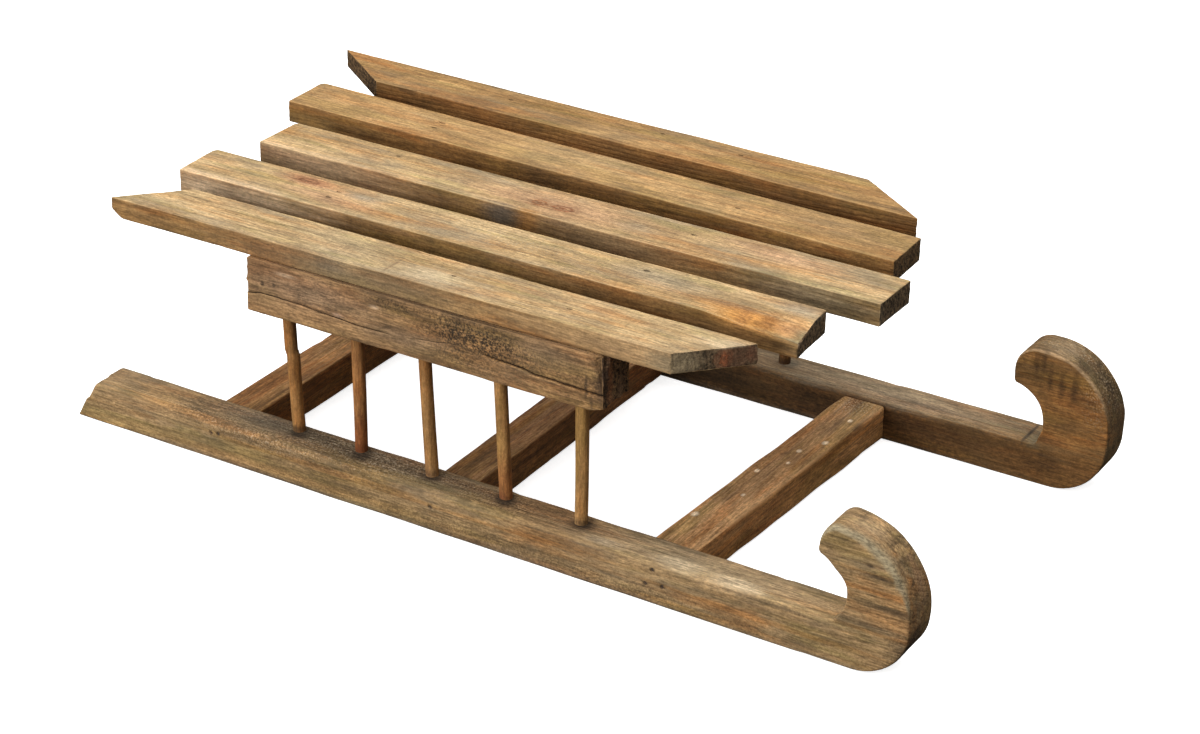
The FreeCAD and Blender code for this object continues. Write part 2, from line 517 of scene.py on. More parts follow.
class Bench:
    """A material's node tree, with short ways to add to it."""

    def __init__(self, name: str) -> None:
        """Starts an empty material of that name."""
        self.material = bpy.data.materials.new(name)
        self.material.use_nodes = True
        self.tree = self.material.node_tree
        self.tree.nodes.clear()

    def add(self, kind: str, **settings: object) -> bpy.types.Node:
        """Adds a node of a kind, with its settings, and returns it."""
        node = self.tree.nodes.new(kind)
        for key, value in settings.items():
            setattr(node, key, value)
        return node

    def feed(self, socket: Socket, value: Feed) -> None:
        """Links a socket to another, or sets it to a plain value."""
        if isinstance(value, bpy.types.NodeSocket):
            self.tree.links.new(value, socket)
        else:
            socket.default_value = value

    def math(self, operation: str, *values: Feed) -> Socket:
        """Returns the result of a sum on one, two or three values."""
        node = self.add("ShaderNodeMath", operation=operation)
        for socket, value in zip(node.inputs, values):
            self.feed(socket, value)
        return node.outputs[0]

    def times(self, *values: Feed) -> Socket:
        """Returns the product of several values."""
        product = values[0]
        for value in values[1:]:
            product = self.math("MULTIPLY", product, value)
        return product

    def scaled(self, vector: Feed, by: tuple[float, float, float]) -> Socket:
        """Returns a vector with each part multiplied."""
        node = self.add("ShaderNodeVectorMath", operation="MULTIPLY")
        self.feed(node.inputs[0], vector)
        self.feed(node.inputs[1], by)
        return node.outputs[0]

    def noise(self, vector: Feed, by: tuple[float, float, float], detail: float = 2.0,
              roughness: float = 0.5) -> Socket:
        """Returns noise, 0 to 1, at a vector.

        Args:
            vector: the place.
            by: how many lumps there are in a metre, each way.
            detail: how many finer layers lie over it.
            roughness: how strong those layers are.

        Returns:
            The noise.
        """
        node = self.add("ShaderNodeTexNoise")
        self.feed(node.inputs["Vector"], self.scaled(vector, by))
        self.feed(node.inputs["Scale"], 1.0)
        self.feed(node.inputs["Detail"], detail)
        self.feed(node.inputs["Roughness"], roughness)
        return node.outputs[0]

    def span(self, value: Feed, low: float, high: float, to_low: float = 0.0, to_high: float = 1.0) -> Socket:
        """Returns a value eased from one span to another, and held inside it."""
        node = self.add("ShaderNodeMapRange", interpolation_type="SMOOTHSTEP")
        for socket, setting in zip(node.inputs, (value, low, high, to_low, to_high)):
            self.feed(socket, setting)
        return node.outputs[0]

    def mix(self, factor: Feed, under: Feed, over: Feed, blend: str = "MIX") -> Socket:
        """Returns two colours blended."""
        node = self.add("ShaderNodeMix", data_type="RGBA", blend_type=blend, clamp_factor=True)
        self.feed(node.inputs[0], factor)
        for socket, value in ((node.inputs[6], under), (node.inputs[7], over)):
            self.feed(socket, value if isinstance(value, bpy.types.NodeSocket) else (*value, 1.0))
        return node.outputs[2]

    def dim(self, colour: Socket, light: Socket) -> Socket:
        """Returns a colour multiplied by a plain value."""
        node = self.add("ShaderNodeVectorMath", operation="SCALE")
        self.feed(node.inputs[0], colour)
        self.feed(node.inputs["Scale"], light)
        return node.outputs[0]

    def attribute(self, name: str) -> Socket:
        """Returns the value of a mesh attribute."""
        return self.add("ShaderNodeAttribute", attribute_name=name).outputs["Fac"]

    def bump(self, height: Socket, distance: float, strength: float) -> Socket:
        """Returns the surface's direction, bumped by a height of up to a distance in metres."""
        node = self.add("ShaderNodeBump")
        self.feed(node.inputs["Strength"], strength)
        self.feed(node.inputs["Distance"], distance)
        self.feed(node.inputs["Height"], height)
        return node.outputs[0]

    def finished(self, settings: dict[str, Feed]) -> bpy.types.Material:
        """Ends the tree in one surface with those settings, and returns the material."""
        shader = self.add("ShaderNodeBsdfPrincipled")
        for name, value in settings.items():
            self.feed(shader.inputs[name], value)
        self.feed(self.add("ShaderNodeOutputMaterial").inputs["Surface"], shader.outputs[0])
        return self.material

    def split(self, vector: Socket) -> tuple[Socket, Socket, Socket]:
        """Returns a vector's three parts."""
        node = self.add("ShaderNodeSeparateXYZ")
        self.feed(node.inputs[0], vector)
        return node.outputs[0], node.outputs[1], node.outputs[2]


def shade(colour: Colour, by: float) -> Colour:
    """Returns a colour made lighter or darker."""
    return (min(1.0, colour[0] * by), min(1.0, colour[1] * by), min(1.0, colour[2] * by))


@dataclass(frozen=True)
class Texture:
    """A noise: its lumps in a metre each way, its finer layers and how strong those are."""

    lumps: tuple[float, float, float]
    layers: float = 3.0
    strength: float = 0.6
    on_grain: bool = True


TEXTURES = {
    "broad": Texture((7.0, 34.0, 34.0), strength=0.55),
    "hue": Texture((11.0, 60.0, 60.0)),
    "vein": Texture((5.0, 150.0, 150.0), strength=0.55),
    "cloud": Texture((34.0, 110.0, 110.0), layers=4.0, strength=0.65),
    "patch": Texture((16.0, 44.0, 44.0), layers=4.0),
    "streak": Texture((10.0, 330.0, 330.0)),
    "round_rim": Texture((26.0, 360.0, 26.0)),
    "fibre": Texture((60.0, 950.0, 950.0), layers=2.0),
    "fleck": Texture((210.0, 800.0, 800.0), strength=0.65),
    "fuzz": Texture((520.0, 760.0, 760.0), strength=0.7),
    "sawn": Texture((520.0, 22.0, 22.0), layers=2.0, strength=0.5),
    "speck": Texture((780.0, 780.0, 780.0), on_grain=False),
    "cut_lines": Texture((380.0, 380.0, 330.0), layers=4.0, strength=0.75, on_grain=False),
    "scales": Texture((170.0, 90.0, 170.0), layers=4.0, strength=0.7, on_grain=False),
}


@dataclass(frozen=True)
class Tinge:
    """A colour that the wood leans to as one texture goes from start to stop."""

    texture: str
    start: float
    stop: float
    colour: Colour


TINGES = (
    Tinge("hue", 0.51, 0.64, (1.0, 0.82, 0.68)),
    Tinge("hue", 0.49, 0.36, (0.84, 0.90, 0.76)),
    Tinge("vein", 0.53, 0.66, (1.04, 0.88, 0.70)),
    Tinge("vein", 0.46, 0.34, (0.80, 0.80, 0.74)),
)


@dataclass(frozen=True)
class Play:
    """How far the wood's tone goes, below and above even, as one texture goes from start to stop."""

    texture: str
    start: float
    stop: float
    low: float
    high: float


PLAYS = (
    Play("fibre", 0.36, 0.64, -0.26, 0.22),
    Play("fleck", 0.38, 0.62, 0.16, -0.24),
    Play("fuzz", 0.36, 0.64, -0.24, 0.20),
    Play("cloud", 0.34, 0.66, -0.24, 0.24),
)


@dataclass
class WoodMaterial:
    """The finish of one wooden piece: its batch, its grain's direction and its own marks.

    anchor is where its marks are measured from. heart is where the tree's middle lay from the
    sled's origin once the grain runs along X, as (side, height), and slant how far it leans in a
    metre of length. The fields below bench are the sockets that the finish reads: noise by its
    texture, and on by the mesh's own marks.
    """

    name: str
    finish: WoodFinish
    grain: Grain
    seed: float
    anchor: Vector
    heart: tuple[float, float] = (60.0, -90.0)
    slant: tuple[float, float] = (14.0, 30.0)
    marks: tuple[Mark, ...] = ()
    tint: Colour = (1.0, 1.0, 1.0)
    rim: Colour = (1.0, 1.0, 1.0)
    bench: Bench = field(init=False)
    origin: Socket = field(init=False)
    point: Socket = field(init=False)
    rings: Socket = field(init=False)
    along_grain: Socket = field(init=False)
    on: dict[str, Socket] = field(init=False)
    noise: dict[str, Socket] = field(init=False)

    def __post_init__(self) -> None:
        """Opens the node tree and lays out the sockets that the finish reads."""
        self.bench = bench = Bench(self.name)
        self.origin = bench.add("ShaderNodeTexCoord").outputs["Object"]
        mapping = bench.add("ShaderNodeMapping", vector_type="POINT")
        bench.feed(mapping.inputs["Vector"], self.origin)
        bench.feed(mapping.inputs["Rotation"], self.grain.value)
        bench.feed(mapping.inputs["Location"], (self.seed * 0.37, 0.0, 0.0))
        self.point = mapping.outputs[0]
        self.on = {key: bench.attribute(key) for key in MARK_KEYS}
        self.on["end"] = bench.span(self.on["end"], 0.3, 0.8)
        self.along_grain = bench.math("SUBTRACT", 1.0, self.on["end"])
        self.noise = {
            name: bench.noise(self.point if texture.on_grain else self.origin, texture.lumps,
                              texture.layers, texture.strength)
            for name, texture in TEXTURES.items()
        }
        streak = self.noise["streak"]
        bent = bench.math("SUBTRACT", self.noise["round_rim"], streak)
        self.noise["streak"] = bench.math("MULTIPLY_ADD", self.on["rim"], bent, streak)
        self.rings = self.growth_rings()

    def growth_rings(self) -> Socket:
        """Returns the growth rings at a point, near 1 on a ring's dark line."""
        bench = self.bench
        along, side, height = bench.split(self.point)
        sway = bench.noise(self.point, (5.0, 26.0, 26.0))
        side_mid = bench.math("MULTIPLY_ADD", along, self.slant[0] * MM, self.heart[0] * MM)
        height_mid = bench.math("MULTIPLY_ADD", along, self.slant[1] * MM, self.heart[1] * MM)
        side_off = bench.math("SUBTRACT", side, side_mid)
        height_off = bench.math("SUBTRACT", height, height_mid)
        squared = bench.math("MULTIPLY_ADD", side_off, side_off, bench.times(height_off, height_off))
        radius = bench.math("MULTIPLY_ADD", sway, 0.016, bench.math("SQRT", squared))
        wave = bench.math("SINE", bench.times(radius, 2.0 * math.pi / (self.finish.ring_pitch * MM)))
        return bench.span(wave, -0.2, 1.0)

    def bare_wood(self) -> Socket:
        """Returns the sawn wood's colour: its rings, dark streaks, greyed areas and tinges."""
        bench, finish, noise = self.bench, self.finish, self.noise
        colour = bench.mix(bench.span(noise["broad"], 0.34, 0.66), finish.pale, finish.brown)
        colour = bench.mix(bench.times(self.rings, finish.rings), colour, finish.brown)
        streaks = bench.times(bench.span(noise["streak"], 0.48, 0.72), finish.fibres)
        colour = bench.mix(streaks, colour, finish.dark)
        grey_low, grey_high = 0.60 - 0.28 * finish.greying, 0.80 - 0.20 * finish.greying
        greyest = min(1.0, 0.25 + 0.6 * finish.greying)
        grey_area = bench.span(noise["patch"], grey_low, grey_high, 0.0, greyest)
        grey_tone = bench.mix(bench.span(noise["fibre"], 0.35, 0.65), finish.grey, shade(finish.grey, 0.6))
        colour = bench.mix(grey_area, colour, grey_tone)
        for tinge in TINGES:
            most = finish.veins if tinge.texture == "vein" else finish.tinges
            share = bench.span(noise[tinge.texture], tinge.start, tinge.stop, 0.0, most)
            colour = bench.mix(share, colour, tinge.colour, "MULTIPLY")
        return colour

    def growth(self) -> Socket:
        """Returns how thick the dark specks and the mould lie at a point."""
        bench, finish, noise = self.bench, self.finish, self.noise
        specks = bench.times(bench.span(noise["fleck"], 0.60, 0.72), bench.span(noise["hue"], 0.35, 0.6),
                             finish.specks)
        mould = bench.times(bench.span(noise["fuzz"], 0.54, 0.66), bench.span(noise["patch"], 0.46, 0.62),
                            finish.mould)
        return bench.math("MAXIMUM", specks, mould)

    def end_grain(self) -> Socket:
        """Returns the colour of a sawn end."""
        bench, end = self.bench, self.finish.end
        cuts = bench.span(self.noise["cut_lines"], 0.40, 0.60)
        tone = bench.mix(cuts, shade(end, 0.22), shade(end, 1.5))
        return bench.mix(bench.times(self.rings, 0.4), tone, shade(end, 1.7))

    def weathered(self, colour: Socket, growth: Socket) -> Socket:
        """Returns a colour with growth, long edges darkened by painted shade and some dirt, sawn ends and the
        hook's rim laid over it.
        """
        bench, finish, on = self.bench, self.finish, self.on
        colour = bench.mix(growth, colour, finish.dark)
        # Long edges multiplied by finish.edge: painted shade, with some dirt, on the sides of slats, bars and
        # the left runner.
        colour = bench.mix(bench.times(on["edge"], self.along_grain), colour, finish.edge, "MULTIPLY")
        colour = bench.mix(on["end"], colour, self.end_grain())
        colour = bench.mix(on["rim"], colour, self.rim, "MULTIPLY")
        scales = bench.span(self.noise["scales"], 0.50, 0.62, 0.0, 0.65)
        return bench.mix(bench.times(on["rim"], scales), colour, finish.dark)

    def nearness(self, mark: Mark) -> Socket:
        """Returns how far out of a mark's middle a point lies, 1 at its rim."""
        bench = self.bench
        offset = bench.add("ShaderNodeVectorMath", operation="SUBTRACT")
        bench.feed(offset.inputs[0], self.origin)
        bench.feed(offset.inputs[1], tuple((self.anchor + Vector(mark.at)) * MM))
        shrunk = bench.scaled(offset.outputs[0], tuple(1.0 / (part * MM) for part in mark.reach))
        length = bench.add("ShaderNodeVectorMath", operation="LENGTH")
        bench.feed(length.inputs[0], shrunk)
        return length.outputs["Value"]

    def cover(self, mark: Mark) -> Socket:
        """Returns how much a mark covers at a point, up to its strength; a loose rim is ragged."""
        bench, noise = self.bench, self.noise
        loose = 1.0 - mark.hardness
        ragged = self.nearness(mark)
        for texture, pull in (("patch", 1.4), ("streak", 1.2), ("fuzz", 0.8)):
            centred = bench.math("SUBTRACT", noise[texture], 0.5)
            ragged = bench.math("MULTIPLY_ADD", centred, pull * loose, ragged)
        cover = bench.span(ragged, 1.0 + 0.5 * loose, 0.75 * mark.hardness, 0.0, mark.strength)
        if mark.rings:
            wave = bench.math("SINE", bench.times(ragged, 14.0))
            cover = bench.times(cover, bench.span(wave, -0.6, 1.0, 0.45, 1.0))
        if mark.speckle:
            low, high = (0.52, 0.45) if mark.speckle > 0 else (0.55, 0.62)
            cover = bench.times(cover, bench.span(noise["speck"], low, high))
        return cover

    def light(self) -> Socket:
        """Returns how light the grain makes the wood at a point."""
        bench, finish, noise = self.bench, self.finish, self.noise
        plays = [
            bench.span(noise[play.texture], play.start, play.stop,
                       1.0 + play.low * finish.flecks, 1.0 + play.high * finish.flecks)
            for play in PLAYS
        ]
        return bench.times(*plays, bench.span(noise["sawn"], 0.3, 0.7, 1.0 - 0.2 * finish.saw_marks, 1.0))

    def handled(self, colour: Socket) -> Socket:
        """Returns a colour with rubbed, worn and dirty corners and dark cracks laid over it."""
        bench, finish, on, noise = self.bench, self.finish, self.on, self.noise
        rubbed = bench.times(bench.span(on["arris"], 0.25, 0.9),
                             bench.span(noise["streak"], 0.62, 0.42, 0.0, finish.rubbing), self.along_grain)
        colour = bench.mix(rubbed, colour, shade(finish.pale, 1.12))
        worn_tone = bench.mix(bench.span(noise["fleck"], 0.35, 0.65), shade(finish.worn, 1.25),
                              shade(finish.worn, 0.6))
        worn = bench.times(on["worn"], bench.span(noise["patch"], 0.25, 0.5, 0.5, 0.95))
        colour = bench.mix(worn, colour, worn_tone)
        dirt = bench.times(bench.span(on["arris"], 0.1, 0.7),
                           bench.span(noise["patch"], 0.52, 0.70, 0.0, 0.55))
        colour = bench.mix(dirt, colour, finish.dark)
        return bench.mix(bench.span(on["crack"], 0.2, 0.65), colour, shade(finish.dark, 0.25))

    def height(self, growth: Socket) -> Socket:
        """Returns how far the fine grain stands out at a point."""
        bench, noise = self.bench, self.noise
        height = bench.math("MULTIPLY_ADD", noise["streak"], 0.9, bench.times(noise["fibre"], 0.6))
        height = bench.math("MULTIPLY_ADD", self.rings, -0.35, height)
        height = bench.math("MULTIPLY_ADD", noise["fuzz"], 0.35, height)
        height = bench.math("MULTIPLY_ADD", noise["sawn"], 0.8 * self.finish.saw_marks, height)
        height = bench.math("MULTIPLY_ADD", growth, -0.5, height)
        return bench.math("ADD", height, bench.times(noise["cut_lines"], self.on["end"], 1.8))

    def build(self) -> bpy.types.Material:
        """Wires up the finish and returns it."""
        bench, finish = self.bench, self.finish
        growth = self.growth()
        colour = self.weathered(self.bare_wood(), growth)
        for mark in self.marks:
            colour = bench.mix(self.cover(mark), colour, mark.colour)
        colour = self.handled(bench.dim(colour, self.light()))
        colour = bench.mix(1.0, colour, self.tint, "MULTIPLY")
        dull, bright = finish.roughness + 0.1, finish.roughness - 0.08
        roughness = bench.span(self.noise["streak"], 0.3, 0.7, dull, bright)
        bump = bench.bump(self.height(growth), 0.0007, finish.bump)
        return bench.finished({"Base Color": colour, "Roughness": roughness, "Specular IOR Level": 0.25,
                               "Normal": bump})


# The slats' edge colour darkens their sides: painted shade in the gaps between slats, with some dirt.
SLAT_WOOD = WoodFinish(pale=(0.61, 0.43, 0.225), brown=(0.44, 0.285, 0.13), dark=(0.14, 0.083, 0.038),
                       grey=(0.37, 0.31, 0.215), end=(0.15, 0.10, 0.055), edge=(0.68, 0.56, 0.42),
                       greying=0.45, rings=0.4, fibres=0.42, flecks=0.7, specks=0.35,
                       saw_marks=0.4, veins=0.45)
RAIL_WOOD = WoodFinish(pale=(0.41, 0.235, 0.10), brown=(0.29, 0.155, 0.062), dark=(0.085, 0.048, 0.024),
                       grey=(0.27, 0.18, 0.105), end=(0.22, 0.13, 0.065), greying=0.4, rings=0.35,
                       fibres=0.5, flecks=0.9, specks=0.6, mould=0.7, saw_marks=0.3)
RUNNER_WOOD = WoodFinish(pale=(0.43, 0.275, 0.128), brown=(0.31, 0.185, 0.08), dark=(0.085, 0.053, 0.026),
                         grey=(0.29, 0.22, 0.135), end=(0.20, 0.135, 0.075), worn=(0.33, 0.27, 0.165),
                         greying=0.6, rings=0.4, fibres=0.52, flecks=0.8, specks=0.5, mould=0.5,
                         saw_marks=0.2, rubbing=0.1)
# The bars' edge colour darkens their front and back faces: painted shade, as those faces are turned away from
# the light.
CROSSBAR_WOOD = WoodFinish(pale=(0.54, 0.315, 0.15), brown=(0.39, 0.21, 0.088), dark=(0.07, 0.036, 0.017),
                           grey=(0.29, 0.19, 0.11), end=(0.08, 0.05, 0.03), edge=(0.9, 0.76, 0.6),
                           worn=(0.27, 0.18, 0.11), greying=0.3, rings=0.35, fibres=0.5, flecks=0.8,
                           specks=0.4, mould=0.4, saw_marks=0.3)
DOWEL_WOOD = WoodFinish(pale=(0.54, 0.30, 0.115), brown=(0.40, 0.205, 0.07), dark=(0.12, 0.055, 0.02),
                        grey=(0.34, 0.24, 0.15), end=(0.2, 0.12, 0.06), greying=0.15, rings=0.3,
                        fibres=0.35, flecks=0.6, specks=0.25, mould=0.1, saw_marks=0.0,
                        roughness=0.6, bump=0.3)
BATTEN_WOOD = WoodFinish(pale=(0.34, 0.22, 0.12), brown=(0.25, 0.15, 0.075), dark=(0.08, 0.045, 0.022),
                         grey=(0.26, 0.20, 0.14), end=(0.12, 0.08, 0.05), greying=0.4, saw_marks=0.6)

KNOT_PINK: Colour = (0.58, 0.33, 0.19)
RESIN_ORANGE: Colour = (0.50, 0.225, 0.055)
PAINT_PALE: Colour = (0.80, 0.63, 0.44)
# Dark brown-black: real dirt and mould specks, and painted shade where it fills nail holes, dowel sockets and
# the rail's joint under slat 1.
DIRT_AND_SHADE: Colour = (0.045, 0.03, 0.018)
ASH: Colour = (0.42, 0.37, 0.28)
# Dark grey-brown: grime along the runners' soles, and painted shadow of the deck on the right runner's top.
GRIME_AND_SHADE: Colour = (0.13, 0.10, 0.07)
BARE_STEEL: Colour = (0.09, 0.085, 0.08)
RUST: Colour = (0.075, 0.032, 0.014)
FOOT_RED: Colour = (0.30, 0.10, 0.035)


def steel_finish() -> bpy.types.Material:
    """Returns the finish of the nails: dull steel, mostly rusted over."""
    bench = Bench("nail_finish")
    origin = bench.add("ShaderNodeTexCoord").outputs["Object"]
    bloom = bench.noise(origin, (700.0, 700.0, 700.0), 4.0, 0.7)
    rust = bench.span(bloom, 0.38, 0.56)
    return bench.finished({
        "Base Color": bench.mix(rust, BARE_STEEL, RUST),
        "Metallic": bench.span(rust, 0.2, 0.8, 0.7, 0.0),
        "Roughness": bench.span(rust, 0.0, 1.0, 0.5, 0.9),
        "Normal": bench.bump(bloom, 0.0003, 1.0),
    })


# ---- Nails -----------------------------------------------------------------------------------


@dataclass(frozen=True)
class Nail:
    """A sunk nail with a slot-like head.

    at is from the piece's anchor; face is the face it is driven into, and turn how far the head is
    turned on it, in degrees.
    """

    at: tuple[float, float, float]
    face: Face = Face.TOP
    turn: float = 0.0
    head: tuple[float, float] = (2.6, 1.0)
    sunk: float = 0.9

    def stand(self, anchor: Vector) -> Matrix:
        """Returns the turn and move that lay the nail's own Z along its face's outward side."""
        out = Vector(self.face.value)
        lie = out.to_track_quat("Z", "X").to_matrix().to_4x4()
        if self.face is Face.TOP:
            lie = Matrix.Identity(4)
        turned = Matrix.Rotation(math.radians(self.turn), 4, "Z")
        return Matrix.Translation(anchor + Vector(self.at)) @ lie @ turned

    def block(self, bm: bmesh.types.BMesh, anchor: Vector, grow: float, low: float, high: float) -> None:
        """Adds a round-cornered block in the shape of the head.

        Args:
            bm: the bmesh to add it to.
            anchor: the piece's anchor.
            grow: how much larger than the head it is, all round.
            low: its foot, below the face where negative.
            high: its top.
        """
        made = bmesh.ops.create_cube(bm, size=1.0)["verts"]
        size = Vector((self.head[0] + 2.0 * grow, self.head[1] + 2.0 * grow, high - low))
        bmesh.ops.scale(bm, vec=size, verts=made)
        bmesh.ops.translate(bm, vec=(0.0, 0.0, (low + high) / 2.0), verts=made)
        edges = {edge for vert in made for edge in vert.link_edges}
        upright = [edge for edge in edges if abs(edge.verts[0].co.z - edge.verts[1].co.z) > 0.1]
        bevelled = bmesh.ops.bevel(bm, geom=upright, offset=0.45 * size.y, segments=3, profile=0.5,
                                   affect="EDGES", material=-1)["verts"]
        made = {vert for vert in {*made, *bevelled} if vert.is_valid}
        linked = {other for vert in made for edge in vert.link_edges for other in edge.verts}
        bmesh.ops.transform(bm, matrix=self.stand(anchor), verts=list(made | linked))


@dataclass
class Nailing:
    """The nails driven into one piece: their holes, their heads and the dark marks round them, which are rust
    stain and painted shade inside the holes.
    """

    nails: tuple[Nail, ...]
    anchor: Vector

    def drive(self, piece: bpy.types.Object, finish: bpy.types.Material) -> None:
        """Cuts the holes in a piece and sets a head in each.

        Args:
            piece: the piece.
            finish: the heads' finish.
        """
        holes, heads = bmesh.new(), bmesh.new()
        for nail in self.nails:
            nail.block(holes, self.anchor, 0.25, -nail.sunk - 1.2, 3.0)
            nail.block(heads, self.anchor, 0.0, -nail.sunk - 1.0, -nail.sunk)
        for bm in (holes, heads):
            bmesh.ops.scale(bm, vec=(MM, MM, MM), verts=bm.verts)
            bmesh.ops.recalc_face_normals(bm, faces=bm.faces)
        cut_away(piece, as_object(holes, "holes"))
        settle(as_object(heads, piece.name.replace("_wood", "_nails")), None, finish)

    def stains_and_hole_shade(self) -> tuple[Mark, ...]:
        """Returns the dark marks at the nails: rust stain round each, and painted shade on the walls of its
        hole.
        """
        reaches = [(nail.head[0] * 0.85, nail.head[1] * 1.1, nail.head[1] * 1.5) for nail in self.nails]
        return tuple(Mark(nail.at, reach, DIRT_AND_SHADE, 0.85, hardness=0.35)
                     for nail, reach in zip(self.nails, reaches))


# ---- Runners ---------------------------------------------------------------------------------

FlatPoint = tuple[float, float]


@dataclass(frozen=True)
class HookShape:
    """A runner's hook: its two rounds, where its tip and mouth lie, how far its lip sags, and how
    much wood its crown has lost.
    """

    heel: float
    tip_reach: float
    mouth_back: float
    mouth_height: float
    mouth_radius: float
    lip: float = 7.0
    sag: float = 0.0
    crown_loss: float = 0.0


@dataclass(frozen=True)
class Stretch:
    """A stretch of the runner's side view, straight or bent through a middle point."""

    start: FlatPoint
    stop: FlatPoint
    through: FlatPoint | None = None

    def circle(self) -> tuple[Vector, float, float, float]:
        """Returns the bend's middle, radius, first angle and turn."""
        (ax, ay), (bx, by), (cx, cy) = self.start, self.through, self.stop
        twice = 2.0 * (ax * (by - cy) + bx * (cy - ay) + cx * (ay - by))
        a, b, c = ax * ax + ay * ay, bx * bx + by * by, cx * cx + cy * cy
        middle = Vector(((a * (by - cy) + b * (cy - ay) + c * (ay - by)) / twice,
                         (a * (cx - bx) + b * (ax - cx) + c * (bx - ax)) / twice))
        first, mid, last = (math.atan2(y - middle.y, x - middle.x)
                            for x, y in (self.start, self.through, self.stop))
        turn = (last - first) % (2.0 * math.pi)
        if (mid - first) % (2.0 * math.pi) > turn:
            turn -= 2.0 * math.pi
        return middle, math.hypot(ax - middle.x, ay - middle.y), first, turn

    def length(self) -> float:
        """Returns how long the stretch is."""
        if self.through is None:
            return math.dist(self.start, self.stop)
        _, radius, _, turn = self.circle()
        return abs(turn) * radius

    def at(self, share: float) -> Vector:
        """Returns the point at a share of the stretch."""
        if self.through is None:
            return Vector(self.start).lerp(Vector(self.stop), share)
        middle, radius, first, turn = self.circle()
        angle = first + turn * share
        return middle + radius * Vector((math.cos(angle), math.sin(angle)))


class Line:
    """A line of stretches in the runner's side view, looked up by its share."""

    def __init__(self, stretches: list[Stretch], steps: int = 400) -> None:
        """Walks the stretches once, in even steps."""
        lengths = [stretch.length() for stretch in stretches]
        self.length = sum(lengths)
        self.points: list[Vector] = []
        for step in range(steps + 1):
            left = self.length * step / steps
            index = 0
            while index < len(stretches) - 1 and left > lengths[index]:
                left -= lengths[index]
                index += 1
            self.points.append(stretches[index].at(min(1.0, left / lengths[index])))

    def at(self, share: float) -> Vector:
        """Returns the point at a share of the line."""
        place = clamp(share, 0.0, 1.0) * (len(self.points) - 1)
        index = min(int(place), len(self.points) - 2)
        return self.points[index].lerp(self.points[index + 1], place - index)


